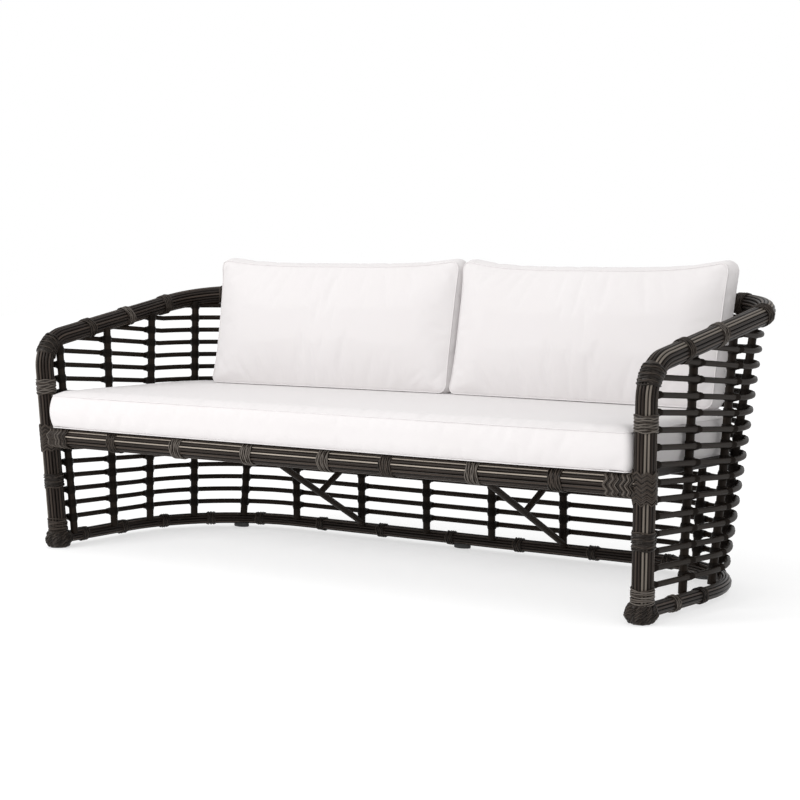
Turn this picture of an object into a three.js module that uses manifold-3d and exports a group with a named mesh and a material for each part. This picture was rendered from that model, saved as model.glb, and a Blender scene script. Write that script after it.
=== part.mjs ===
import * as THREE from 'three';
import { mergeVertices } from 'three/addons/utils/BufferGeometryUtils.js';
import Module from 'manifold-3d';

const wasm = await Module();
wasm.setup();

// A garden sofa of bent poles: millimetres, X along the sofa, -Y to the front, Z up.
// Depths are measured from the front posts' axis, heights from the floor.

// Clearances
const seatGap = 0.3;
const lashGap = 0.8;
const cutOverrun = 10;
const postFootOverrun = 2;

// Front posts and the poles they carry
const postHalfSpan = 950;
const postFlareShare = 0.047;
const postLeanShare = 0.054;
const poleRadius = 25;
const poleCoreRadius = 19;
const poleCoreWall = 2;
const bindingRise = 1.8;
const bindingLength = 36;
const bindingEdge = 1;

// Seat front rail, bowed forward at the middle
const frontRailHeight = 316;
const frontRailRadius = 27;
const frontRailCoreRadius = 21;
const frontRailBow = 12;
const frontRailEndInset = 14;
const frontBindingPitch = 236;
const frontBindingCount = 7;

// Arm and back rail
const armFrontX = 960;
const armFrontHeight = 584;
const armBendRadius = 85;
const backRailHeight = 706;
const topCornerX = 980;
const topBackY = 668;
const topCornerRadius = 150;

// Bindings on the posts, by height, and on the arms, by depth
const postBindingHeights = [192, 458];
const junctionBindingLength = 64;
const armBindingDepths = [167, 333, 510];

// Base rail on the floor side
const baseRailHeight = 26;
const baseRailRadius = 17;
const baseCoreRadius = 12;
const baseCoreWall = 1.6;
const baseCornerX = 962;
const baseBackY = 675;
const baseCornerRadius = 349;

// Feet under the posts and glides under the base rail's back
const footRadius = 37;
const footHeight = 45;
const footPadRadius = 26;
const footShoulderShare = 0.75;
const glideHalfLength = 27;
const glideHalfWidth = 15;
const glideHeight = 14;
const glidePitch = 780;

// Horizontal rods of the wall, evenly spaced from the lowest to the one under the back rail;
// along the sides they rise to the posts, by a share of their height
const rodRadius = 7;
const rodCount = 17;
const lowestRodHeight = 77;
const highestRodDrop = 35;
const rodRiseShare = 0.072;
const rodSideSteps = 2;
const searchSteps = 24;

// Uprights inside the rods: depth at the base and at the top, or distance from the middle
const uprightRadius = 10.5;
const sideUprightDepths = [[61, 28], [227, 230], [380, 428], [523, 606]];
const backUprightWidths = [111, 343, 588, 772];
const uprightEndShare = 0.6;

// Seat deck
const deckHeight = 345;
const deckRailRadius = 12;
const deckBarWidth = 36;
const deckBarHeight = 14;
const deckBarPitch = 340;
const deckBarCount = 5;

// Braces under the seat, at the second upright from the middle
const braceRadius = 9;
const braceHeadDepth = 140;
const braceHeelHeight = 46;
const braceForkShare = 0.62;
const braceForkHeight = 262;

// Cushions
const seatHalfWidth = 921;
const seatFrontDepth = -24;
const seatBackDepth = 606;
const seatThickness = 98;
const seatCrown = 4;
const seatPuff = 6;
const seatFrontCorner = 22;
const seatBackCorner = 190;
const seatEndPull = 5;
const backCushionsMiddleX = 52;
const backCushionMiddleGap = 7;
const backCushionWidth = 818;
const backCushionHeight = 360;
const backCushionThickness = 68;
const backCushionSeatDepth = 513;
const backCushionLean = 11.8;
const backCushionTurn = 2.8;
const backCushionCrown = 16;
const backCushionRearCrown = 12;
const backCushionPuff = 4;
const backCushionCorner = 22;
const backCushionPull = 7;
const cushionCornerSteps = 4;
const cushionSideSteps = 6;
const panelRingShares = [0.965, 0.88, 0.7, 0.4];

// Facets
const poleSides = 10;
const baseSides = 10;
const coreSides = 6;
const rodSides = 6;
const uprightSides = 8;
const uprightSteps = 5;
const bendSteps = 5;
const cornerSteps = 7;
const footSides = 16;
const arcStep = THREE.MathUtils.degToRad(17);

const frontReach = frontRailBow + frontRailRadius + bindingRise;
const backReach = Math.max(baseBackY + baseRailRadius, topBackY + poleRadius);
const footprintMiddle = (backReach - frontReach) / 2;

const lerp = THREE.MathUtils.lerp;

function material(color, roughness, metalness = 0) {
  return new THREE.MeshStandardMaterial({ color, roughness, metalness });
}

const strand = material(0x2b2724, 0.55);
const thinStrand = material(0x231e1b, 0.6);
const aluminium = material(0xa8abad, 0.45, 0.9);
const glidePlastic = material(0x1a1a1a, 0.5);
const fabric = material(0xe9e6e0, 0.92);

const sofa = new THREE.Group();
const frame = new THREE.Group();
frame.position.y = -footprintMiddle;
sofa.add(frame);

function addMesh(name, geometry, surface) {
  geometry.computeVertexNormals();
  const mesh = new THREE.Mesh(geometry, surface);
  mesh.name = name;
  frame.add(mesh);
  return mesh;
}

// Solids for cutting one piece to the shape of its neighbour
function toSolid(geometry) {
  const bare = geometry.clone();
  bare.deleteAttribute('normal');
  bare.deleteAttribute('uv');
  const merged = mergeVertices(bare);
  return new wasm.Manifold(new wasm.Mesh({
    numProp: 3,
    vertProperties: new Float32Array(merged.attributes.position.array),
    triVerts: new Uint32Array(merged.index.array),
  }));
}

function toGeometry(solid) {
  const mesh = solid.getMesh();
  const geometry = new THREE.BufferGeometry();
  geometry.setAttribute('position', new THREE.BufferAttribute(new Float32Array(mesh.vertProperties), 3));
  geometry.setIndex(new THREE.BufferAttribute(new Uint32Array(mesh.triVerts), 1));
  return geometry;
}

function cut(geometry, ...cutters) {
  let solid = toSolid(geometry);
  for (const cutter of cutters) solid = solid.subtract(cutter);
  return toGeometry(solid);
}

function indexedGeometry(vertices, faces) {
  const geometry = new THREE.BufferGeometry();
  geometry.setAttribute('position', new THREE.Float32BufferAttribute(vertices, 3));
  geometry.setIndex(faces);
  return geometry;
}

// A polyline with the lengths along it
function measured(points) {
  const lengths = [0];
  for (let i = 1; i < points.length; i++) {
    lengths.push(lengths[i - 1] + points[i].distanceTo(points[i - 1]));
  }
  return { points, lengths, total: lengths[lengths.length - 1] };
}

function pointAlong(line, length) {
  let i = 1;
  while (i < line.points.length - 1 && line.lengths[i] < length) i++;
  const share = (length - line.lengths[i - 1]) / (line.lengths[i] - line.lengths[i - 1]);
  return line.points[i - 1].clone().lerp(line.points[i], share);
}

// Stations of a pole: its own points, and four rings for each binding
function stationsOf(points, radius, bindings) {
  const line = measured(points);
  const stations = line.points.map((point, i) => ({ length: line.lengths[i], point, radius }));
  for (const binding of bindings) {
    const start = binding.middle - binding.length / 2;
    const end = binding.middle + binding.length / 2;
    const swollen = radius + bindingRise;
    for (const station of stations) {
      if (station.length > start && station.length < end) station.radius = swollen;
    }
    const rings = [
      [start, radius],
      [start + bindingEdge, swollen],
      [end - bindingEdge, swollen],
      [end, radius],
    ];
    for (const [length, ringRadius] of rings) {
      stations.push({ length, point: pointAlong(line, length), radius: ringRadius });
    }
  }
  return stations.sort((a, b) => a.length - b.length);
}

// A closed round pole swept along points; the first ring's first corner points along reference
function pole(points, radius, sides, reference, bindings = []) {
  const stations = stationsOf(points, radius, bindings);
  const vertices = [];
  const faces = [];
  const side = reference.clone();
  stations.forEach((station, i) => {
    const before = stations[Math.max(i - 1, 0)].point;
    const after = stations[Math.min(i + 1, stations.length - 1)].point;
    const tangent = after.clone().sub(before).normalize();
    side.addScaledVector(tangent, -side.dot(tangent)).normalize();
    const other = tangent.clone().cross(side);
    for (let j = 0; j < sides; j++) {
      const angle = (2 * Math.PI * j) / sides;
      const corner = station.point.clone();
      corner.addScaledVector(side, station.radius * Math.cos(angle));
      corner.addScaledVector(other, station.radius * Math.sin(angle));
      vertices.push(corner.x, corner.y, corner.z);
    }
  });
  for (let i = 0; i < stations.length - 1; i++) {
    for (let j = 0; j < sides; j++) {
      const a = i * sides + j;
      const b = i * sides + ((j + 1) % sides);
      faces.push(a, b, b + sides, a, b + sides, a + sides);
    }
  }
  const last = (stations.length - 1) * sides;
  for (let j = 1; j < sides - 1; j++) {
    faces.push(0, j + 1, j);
    faces.push(last, last + j, last + j + 1);
  }
  return indexedGeometry(vertices, faces);
}

function extended(points, length) {
  const longer = points.map((point) => point.clone());
  const [first, second] = points;
  const last = points[points.length - 1];
  const beforeLast = points[points.length - 2];
  longer[0].addScaledVector(first.clone().sub(second).normalize(), length);
  longer[longer.length - 1].addScaledVector(last.clone().sub(beforeLast).normalize(), length);
  return longer;
}

function pipe(points, radius, bore, sides, boreSides, reference, bindings = []) {
  const inside = pole(extended(points, cutOverrun), bore, boreSides, reference);
  return cut(pole(points, radius, sides, reference, bindings), toSolid(inside));
}

// Straight runs joined by round bends, as points
function roundedPath(corners, radii, steps) {
  const points = [corners[0].clone()];
  for (let i = 1; i < corners.length - 1; i++) {
    const into = corners[i].clone().sub(corners[i - 1]).normalize();
    const outOf = corners[i + 1].clone().sub(corners[i]).normalize();
    const turn = into.angleTo(outOf);
    const radius = radii[i - 1];
    const start = corners[i].clone().addScaledVector(into, -radius * Math.tan(turn / 2));
    const inward = outOf.clone().addScaledVector(into, -outOf.dot(into)).normalize();
    for (let k = 0; k <= steps[i - 1]; k++) {
      const angle = (turn * k) / steps[i - 1];
      const point = start.clone().addScaledVector(into, radius * Math.sin(angle));
      points.push(point.addScaledVector(inward, radius * (1 - Math.cos(angle))));
    }
  }
  points.push(corners[corners.length - 1].clone());
  return points;
}

function mirrored(points) {
  return points.map((point) => new THREE.Vector3(-point.x, point.y, point.z));
}

function postX(height) {
  return postHalfSpan + postFlareShare * (height - frontRailHeight);
}

function postDepth(height) {
  return -postLeanShare * (height - frontRailHeight);
}

function heightShare(height) {
  return (height - baseRailHeight) / (backRailHeight - baseRailHeight);
}

// The wall's plan at a height: a straight side, a round corner and a straight back
function wallPlan(height) {
  const share = heightShare(height);
  const corner = new THREE.Vector2(
    lerp(baseCornerX, topCornerX, share),
    lerp(baseBackY, topBackY, share),
  );
  const radius = lerp(baseCornerRadius, topCornerRadius, share);
  const front = new THREE.Vector2(postX(height), 0);
  const along = corner.clone().sub(front).normalize();
  const outward = new THREE.Vector2(along.y, -along.x);
  const turn = Math.PI / 2 + Math.atan2(along.x, along.y);
  const arcStart = corner.clone().addScaledVector(along, -radius * Math.tan(turn / 2));
  const centre = arcStart.clone().addScaledVector(outward, -radius);
  return { front, along, outward, arcStart, centre, radius, startAngle: Math.atan2(outward.y, outward.x) };
}

function onArc(plan, angle) {
  const outward = new THREE.Vector2(Math.cos(angle), Math.sin(angle));
  return { point: plan.centre.clone().addScaledVector(outward, plan.radius), outward, angle };
}

function planAtDepth(plan, depth) {
  if (depth > plan.arcStart.y) return onArc(plan, Math.asin((depth - plan.centre.y) / plan.radius));
  const length = (depth - plan.front.y) / plan.along.y;
  const point = plan.front.clone().addScaledVector(plan.along, length);
  return { point, outward: plan.outward, angle: null };
}

function planAtWidth(plan, width) {
  if (width > plan.centre.x) return onArc(plan, Math.acos((width - plan.centre.x) / plan.radius));
  const point = new THREE.Vector2(width, plan.centre.y + plan.radius);
  return { point, outward: new THREE.Vector2(0, 1), angle: null };
}

function raised(place, height, inset) {
  const point = place.point.clone().addScaledVector(place.outward, -inset);
  return new THREE.Vector3(point.x, point.y, height);
}

// Angles round the corner, with a ring where an upright stands
function cornerAngles(start, stops) {
  const ends = [start, ...stops.filter((angle) => angle !== null && angle > start), Math.PI / 2];
  const angles = [];
  for (let i = 1; i < ends.length; i++) {
    const count = Math.max(1, Math.ceil((ends[i] - ends[i - 1]) / arcStep));
    for (let k = 0; k < count; k++) angles.push(lerp(ends[i - 1], ends[i], k / count));
  }
  angles.push(Math.PI / 2);
  return angles;
}

// One height's U-shaped line round the sofa, from the right front to the left front
function wallLine(height, frontDepth, inset = 0) {
  const plan = wallPlan(height);
  const stops = [
    ...sideUprights.map((upright) => upright.at(plan, height).angle),
    ...[...backUprights].reverse().map((upright) => upright.at(plan, height).angle),
  ];
  const front = planAtDepth(plan, frontDepth);
  const right = front.angle === null ? [raised(front, height, inset)] : [];
  for (const angle of cornerAngles(front.angle ?? plan.startAngle, stops)) {
    right.push(raised(onArc(plan, angle), height, inset));
  }
  return [...right, ...mirrored(right).reverse()];
}

// Uprights, as places on the wall
const uprightInset = rodRadius + uprightRadius + lashGap;

const sideUprights = sideUprightDepths.map(([baseDepth, topDepth]) => ({
  at: (plan, height) => planAtDepth(plan, lerp(baseDepth, topDepth, heightShare(height))),
  topDepth,
}));
const backUprights = backUprightWidths.map((width) => ({
  at: (plan) => planAtWidth(plan, width),
  topDepth: topBackY,
}));

// Arm height over a depth, along the straight of the arm
function armHeight(depth) {
  const armDepth = topBackY - postDepth(armFrontHeight);
  const rise = backRailHeight - armFrontHeight;
  const share = (depth - postDepth(armFrontHeight)) / armDepth;
  return armFrontHeight + rise * Math.min(share, 1);
}

// Top rail: post, bend, arm, corner, back and the same again
function topRailPoints() {
  const foot = new THREE.Vector3(postX(footHeight), postDepth(footHeight), footHeight - postFootOverrun);
  const bend = new THREE.Vector3(armFrontX, postDepth(armFrontHeight), armFrontHeight);
  const corner = new THREE.Vector3(topCornerX, topBackY, backRailHeight);
  const corners = [foot, bend, corner, ...mirrored([corner, bend, foot])];
  const radii = [armBendRadius, topCornerRadius, topCornerRadius, armBendRadius];
  return roundedPath(corners, radii, [bendSteps, cornerSteps, cornerSteps, bendSteps]);
}

const topRailLine = topRailPoints();
const topRailMeasured = measured(topRailLine);

// The length along a line at which it first reaches a depth, or a height
function lengthWhere(line, axis, value) {
  const index = line.points.findIndex((point, i) => i > 0 && point[axis] > value);
  const [before, after] = [line.points[index - 1], line.points[index]];
  const share = (value - before[axis]) / (after[axis] - before[axis]);
  return lerp(line.lengths[index - 1], line.lengths[index], share);
}

function topRailBindings() {
  const half = [];
  for (const height of postBindingHeights) {
    half.push({ middle: height - footHeight, length: bindingLength });
  }
  half.push({ middle: frontRailHeight - footHeight, length: junctionBindingLength });
  for (const depth of armBindingDepths) {
    half.push({ middle: lengthWhere(topRailMeasured, 'y', depth), length: bindingLength });
  }
  const other = half.map(({ middle, length }) => ({ middle: topRailMeasured.total - middle, length }));
  return [...half, ...other];
}

// Feet: turned bulbs that the posts stand on
function footGeometry(grow = 0) {
  const shoulder = footHeight * footShoulderShare;
  const profile = [
    [0, -grow],
    [footPadRadius + grow, -grow],
    [footRadius + grow, footHeight - shoulder],
    [footRadius + grow, shoulder],
    [poleRadius + grow, footHeight + grow],
    [0, footHeight + grow],
  ];
  const geometry = new THREE.LatheGeometry(profile.map(([x, y]) => new THREE.Vector2(x, y)), footSides);
  return geometry.rotateX(Math.PI / 2);
}

function placedFoot(side, grow) {
  return footGeometry(grow).translate(side * postX(footHeight), postDepth(footHeight), 0);
}

for (const [side, name] of [[1, 'right'], [-1, 'left']]) addMesh(`foot_${name}`, placedFoot(side), strand);
const footCutters = [toSolid(placedFoot(1, seatGap)), toSolid(placedFoot(-1, seatGap))];

const railReference = new THREE.Vector3(1, 0, 0);
const railBindings = topRailBindings();
const poleBore = poleCoreRadius + seatGap;
addMesh(
  'top_rail_wrap',
  cut(
    pipe(topRailLine, poleRadius, poleBore, poleSides, coreSides, railReference, railBindings),
    ...footCutters,
  ),
  strand,
);
addMesh(
  'top_rail_tube',
  cut(
    pipe(topRailLine, poleCoreRadius, poleCoreRadius - poleCoreWall, coreSides, coreSides, railReference),
    ...footCutters,
  ),
  aluminium,
);
const topRailCutter = toSolid(
  pole(topRailLine, poleRadius + seatGap, poleSides, railReference, railBindings),
);
const wideRailCutter = toSolid(
  pole(topRailLine, poleRadius + bindingRise + seatGap, poleSides, railReference),
);

// Seat front rail between the posts
function frontRailPoints() {
  const end = new THREE.Vector3(postHalfSpan - frontRailEndInset, 0, frontRailHeight);
  const middle = new THREE.Vector3(0, -2 * frontRailBow, frontRailHeight);
  const bow = new THREE.QuadraticBezierCurve3(end, middle, new THREE.Vector3(-end.x, 0, end.z));
  return bow.getPoints(frontBindingCount + 1);
}

const frontRailLine = frontRailPoints();
const frontRailTotal = measured(frontRailLine).total;
const frontBindings = [];
for (let i = 0; i < frontBindingCount; i++) {
  const offset = (i - (frontBindingCount - 1) / 2) * frontBindingPitch;
  frontBindings.push({ middle: frontRailTotal / 2 + offset, length: bindingLength });
}
const frontBore = frontRailCoreRadius + seatGap;
const forward = new THREE.Vector3(0, -1, 0);
addMesh(
  'seat_front_rail_wrap',
  cut(
    pipe(frontRailLine, frontRailRadius, frontBore, poleSides, coreSides, forward, frontBindings),
    topRailCutter,
  ),
  strand,
);
addMesh(
  'seat_front_rail_tube',
  cut(
    pipe(
      frontRailLine, frontRailCoreRadius, frontRailCoreRadius - poleCoreWall, coreSides, coreSides, forward,
    ),
    topRailCutter,
  ),
  aluminium,
);
const frontRailCutter = toSolid(
  pole(frontRailLine, frontRailRadius + seatGap, poleSides, forward, frontBindings),
);

// Base rail behind the feet, and its glides
const baseRailLine = wallLine(baseRailHeight, 0);
addMesh(
  'base_rail_wrap',
  cut(
    pipe(baseRailLine, baseRailRadius, baseCoreRadius + seatGap, baseSides, coreSides, railReference),
    ...footCutters,
  ),
  strand,
);
addMesh(
  'base_rail_tube',
  cut(
    pipe(baseRailLine, baseCoreRadius, baseCoreRadius - baseCoreWall, coreSides, coreSides, railReference),
    ...footCutters,
  ),
  aluminium,
);
const baseRailCutter = toSolid(pole(baseRailLine, baseRailRadius + seatGap, baseSides, railReference));

const glideNames = ['left', 'middle', 'right'];
glideNames.forEach((name, i) => {
  const glide = new THREE.CylinderGeometry(glideHalfLength, glideHalfLength, glideHeight, footSides);
  glide.rotateX(Math.PI / 2);
  glide.scale(1, glideHalfWidth / glideHalfLength, 1);
  const x = (i - 1) * glidePitch;
  const { point } = planAtWidth(wallPlan(baseRailHeight), Math.abs(x));
  glide.translate(x, point.y, glideHeight / 2);
  addMesh(`glide_${name}`, cut(glide, baseRailCutter), glidePlastic);
});

// Uprights from the base rail to the top rail
function uprightLine(upright) {
  const bottom = baseRailHeight + baseRailRadius * uprightEndShare;
  const top = armHeight(upright.topDepth) - poleRadius * uprightEndShare;
  const points = [];
  for (let i = 0; i <= uprightSteps; i++) {
    const height = lerp(bottom, top, i / uprightSteps);
    points.push(raised(upright.at(wallPlan(height), height), height, uprightInset));
  }
  return points;
}

function uprightReference(upright) {
  const { outward } = upright.at(wallPlan(deckHeight), deckHeight);
  return new THREE.Vector3(outward.x, outward.y, 0);
}

function addUpright(name, upright) {
  const line = uprightLine(upright);
  const reference = uprightReference(upright);
  for (const [side, sideName] of [[1, 'right'], [-1, 'left']]) {
    const points = side > 0 ? line : mirrored(line);
    const outward = new THREE.Vector3(side * reference.x, reference.y, 0);
    const geometry = pole(points, uprightRadius, uprightSides, outward);
    addMesh(`${name}_${sideName}`, cut(geometry, topRailCutter, baseRailCutter), thinStrand);
  }
}

sideUprights.forEach((upright, i) => addUpright(`side_upright_${i + 1}`, upright));
backUprights.forEach((upright, i) => addUpright(`back_upright_${i + 1}`, upright));

// Rods round the wall; the highest end under the sloping arms
function rodFrontDepth(height) {
  const behindPost = postDepth(height) + poleRadius + bindingRise + seatGap;
  const insideRail = pointAlong(topRailMeasured, lengthWhere(topRailMeasured, 'z', height));
  return Math.max(behindPost, insideRail.y);
}

// A rod's place on the wall's straight side, by the share of the way from the post to the corner
function rodSidePoint(backHeight, share) {
  const height = backHeight * (1 + rodRiseShare * (1 - share));
  const plan = wallPlan(height);
  const point = plan.front.clone().lerp(plan.arcStart, share);
  return new THREE.Vector3(point.x, point.y, height);
}

// The share at which a rod comes clear of the post or reaches the arm
function rodStartShare(backHeight) {
  let [before, after] = [0, 1];
  for (let i = 0; i < searchSteps; i++) {
    const share = (before + after) / 2;
    const point = rodSidePoint(backHeight, share);
    const clear = point.z < backRailHeight && point.y > rodFrontDepth(point.z);
    if (clear) after = share;
    else before = share;
  }
  return after;
}

function rodLine(backHeight) {
  const corner = wallPlan(backHeight).arcStart.y;
  if (rodFrontDepth(backHeight) > corner) return wallLine(backHeight, rodFrontDepth(backHeight));
  const start = rodStartShare(backHeight);
  const right = [];
  for (let k = 0; k < rodSideSteps; k++) {
    right.push(rodSidePoint(backHeight, lerp(start, 1, k / rodSideSteps)));
  }
  return [...right, ...wallLine(backHeight, corner).slice(1, -1), ...mirrored(right).reverse()];
}

const highestRodHeight = backRailHeight - highestRodDrop;
for (let i = 0; i < rodCount; i++) {
  const height = lerp(lowestRodHeight, highestRodHeight, i / (rodCount - 1));
  const line = rodLine(height);
  const rod = pole(line, rodRadius, rodSides, railReference);
  const meetsArm = line[0].z + rodRadius > armFrontHeight - armBendRadius;
  addMesh(`rod_${String(i + 1).padStart(2, '0')}`, meetsArm ? cut(rod, wideRailCutter) : rod, thinStrand);
}

// Seat deck: a U-shaped rail lashed to the uprights, and bars to the front rail
const deckRailInset = uprightInset + uprightRadius + lashGap + deckRailRadius;
const deckRailHeight = deckHeight - deckRailRadius;
const deckRailLine = wallLine(deckRailHeight, 0, deckRailInset);
const up = new THREE.Vector3(0, 0, 1);
addMesh(
  'seat_back_rail',
  cut(pole(deckRailLine, deckRailRadius, uprightSides, up), frontRailCutter),
  aluminium,
);
const deckRailCutter = toSolid(pole(deckRailLine, deckRailRadius + seatGap, uprightSides, up));

function deckBar(x) {
  const front = -frontRailBow;
  const outerEdge = planAtWidth(wallPlan(deckRailHeight), Math.abs(x) + deckBarWidth / 2);
  const back = raised(outerEdge, deckRailHeight, deckRailInset).y - deckRailRadius / 2;
  const bar = new THREE.BoxGeometry(deckBarWidth, back - front, deckBarHeight);
  bar.translate(x, (front + back) / 2, deckHeight - deckBarHeight / 2);
  return bar;
}

for (let i = 0; i < deckBarCount; i++) {
  const x = (i - (deckBarCount - 1) / 2) * deckBarPitch;
  addMesh(`seat_bar_${i + 1}`, cut(deckBar(x), frontRailCutter, deckRailCutter), aluminium);
}

// Braces: a long one from the deck to the base rail and a short one back to the upright
function addBrace(name, x) {
  const upright = uprightLine(backUprights[1]);
  const standing = x < 0 ? mirrored(upright) : upright;
  const uprightCutter = toSolid(
    pole(standing, uprightRadius + seatGap, uprightSides, new THREE.Vector3(0, 1, 0)),
  );
  const head = new THREE.Vector3(x, braceHeadDepth, deckHeight - deckBarHeight - seatGap);
  const heel = new THREE.Vector3(x, standing[0].y, braceHeelHeight);
  const across = new THREE.Vector3(1, 0, 0);
  const deckCutter = toSolid(deckBar(x).translate(0, 0, -seatGap));
  const tilted = extended([head, heel], cutOverrun);
  tilted[1] = heel;
  const longBrace = pole(tilted, braceRadius, uprightSides, across);
  addMesh(`brace_long_${name}`, cut(longBrace, deckCutter, baseRailCutter, uprightCutter), thinStrand);
  const fork = head.clone().lerp(heel, braceForkShare);
  const seat = new THREE.Vector3(x, standing[1].y, braceForkHeight);
  const longCutter = toSolid(pole(tilted, braceRadius + seatGap, uprightSides, across));
  const shortBrace = pole([fork, seat], braceRadius, uprightSides, across);
  addMesh(`brace_short_${name}`, cut(shortBrace, longCutter, uprightCutter), thinStrand);
}

addBrace('left', -backUprightWidths[1]);
addBrace('right', backUprightWidths[1]);

// How far a cushion's panel stands over its seam, by the share of the way out to the seam
function panelRise(crown, share) {
  return crown * Math.cos((Math.PI / 2) * share ** 3);
}

// A cushion's panel outline: corners with their radii, and sides pulled in between them
function cushionOutline(halfWidth, halfHeight, radii, pulls) {
  const signs = [[1, -1], [1, 1], [-1, 1], [-1, -1]];
  const outline = [];
  signs.forEach(([signX, signY], i) => {
    const radius = radii[i];
    const centre = new THREE.Vector2(signX * (halfWidth - radius), signY * (halfHeight - radius));
    const start = (i - 1) * (Math.PI / 2);
    for (let k = 0; k <= cushionCornerSteps; k++) {
      const angle = start + (k / cushionCornerSteps) * (Math.PI / 2);
      const outward = new THREE.Vector2(Math.cos(angle), Math.sin(angle));
      outline.push(centre.clone().addScaledVector(outward, radius));
    }
    const next = signs[(i + 1) % 4];
    const nextRadius = radii[(i + 1) % 4];
    const from = outline[outline.length - 1].clone();
    const to = new THREE.Vector2(next[0] * halfWidth, next[1] * halfHeight);
    if (i % 2 === 0) to.y -= next[1] * nextRadius;
    else to.x -= next[0] * nextRadius;
    const inward = new THREE.Vector2(-Math.cos(i * Math.PI / 2), -Math.sin(i * Math.PI / 2));
    for (let k = 1; k < cushionSideSteps; k++) {
      const share = k / cushionSideSteps;
      const pull = pulls[i] * Math.sin(Math.PI * share);
      outline.push(from.clone().lerp(to, share).addScaledVector(inward, pull));
    }
  });
  return outline;
}

// A boxed cushion: back panel, side band that puffs out, front panel; panels have a crown
function cushionGeometry({ halfWidth, halfHeight, thickness, radii, pulls, crown, backCrown, puff }) {
  const outline = cushionOutline(halfWidth, halfHeight, radii, pulls);
  const count = outline.length;
  const puffed = cushionOutline(
    halfWidth + puff,
    halfHeight + puff,
    radii.map((radius) => radius + puff),
    pulls,
  );
  const rings = [];
  const addPanel = (level, rise, shares) => {
    for (const share of shares) {
      rings.push(outline.map((point) => [point.x * share, point.y * share, level + panelRise(rise, share)]));
    }
  };
  addPanel(-thickness / 2, -backCrown, [...panelRingShares].reverse());
  addPanel(-thickness / 2, -backCrown, [1]);
  rings.push(puffed.map((point) => [point.x, point.y, 0]));
  addPanel(thickness / 2, crown, [1]);
  addPanel(thickness / 2, crown, panelRingShares);
  const vertices = rings.flat(2);
  const faces = [];
  for (let i = 0; i < rings.length - 1; i++) {
    for (let j = 0; j < count; j++) {
      const a = i * count + j;
      const b = i * count + ((j + 1) % count);
      faces.push(a, b, b + count, a, b + count, a + count);
    }
  }
  const bottom = rings.length * count;
  vertices.push(0, 0, -thickness / 2 - backCrown, 0, 0, thickness / 2 + crown);
  const last = (rings.length - 1) * count;
  for (let j = 0; j < count; j++) {
    const next = (j + 1) % count;
    faces.push(bottom, next, j);
    faces.push(bottom + 1, last + j, last + next);
  }
  return indexedGeometry(vertices, faces);
}

// Seat cushion, its front following the bowed rail
const seatMiddle = (seatBackDepth + seatFrontDepth) / 2;
const seatHalfDepth = (seatBackDepth - seatFrontDepth) / 2 - seatPuff;
const seatUnderside = deckHeight + seatGap;
const seatCushion = addMesh(
  'seat_cushion',
  cushionGeometry({
    halfWidth: seatHalfWidth - seatPuff,
    halfHeight: seatHalfDepth,
    thickness: seatThickness,
    radii: [seatFrontCorner, seatBackCorner, seatBackCorner, seatFrontCorner],
    pulls: [seatEndPull, 0, seatEndPull, -frontRailBow],
    crown: seatCrown,
    backCrown: 0,
    puff: seatPuff,
  }),
  fabric,
);
seatCushion.position.set(0, seatMiddle, seatUnderside + seatThickness / 2);

// Back cushions: level where they stand on the seat cushion, leaning back on the rail, and each
// turned a little so that its outer end stands further forward
const lean = THREE.MathUtils.degToRad(backCushionLean);
const turn = THREE.MathUtils.degToRad(backCushionTurn);
const heelShare = (backCushionSeatDepth - seatMiddle) / seatHalfDepth;
const heelHeight = seatUnderside + seatThickness + panelRise(seatCrown, heelShare) + backCushionPuff;
const leaning = new THREE.Matrix4().makeBasis(
  new THREE.Vector3(1, 0, 0),
  new THREE.Vector3(0, Math.sin(lean), Math.cos(lean)),
  new THREE.Vector3(0, -1, 0),
);
for (const [side, name] of [[-1, 'left'], [1, 'right']]) {
  const cushion = addMesh(
    `back_cushion_${name}`,
    cushionGeometry({
      halfWidth: backCushionWidth / 2,
      halfHeight: backCushionHeight / 2,
      thickness: backCushionThickness,
      radii: [backCushionCorner, backCushionCorner, backCushionCorner, backCushionCorner],
      pulls: [backCushionPull, -backCushionPull / 2, backCushionPull, 0],
      crown: backCushionCrown,
      backCrown: backCushionRearCrown,
      puff: backCushionPuff,
    }).applyMatrix4(leaning),
    fabric,
  );
  const outward = (backCushionMiddleGap + backCushionWidth * Math.cos(turn)) / 2;
  const behind = backCushionThickness / 2 + (backCushionHeight / 2) * Math.sin(lean);
  cushion.rotation.z = -side * turn;
  cushion.position.set(
    backCushionsMiddleX + side * (outward + behind * Math.sin(turn)),
    backCushionSeatDepth - (backCushionWidth / 2) * Math.sin(turn) + behind * Math.cos(turn),
    heelHeight + seatGap + (backCushionHeight / 2) * Math.cos(lean),
  );
}

export default sofa;
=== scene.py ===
import math

import bpy
import numpy as np
from mathutils import Matrix, Vector, noise


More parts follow.
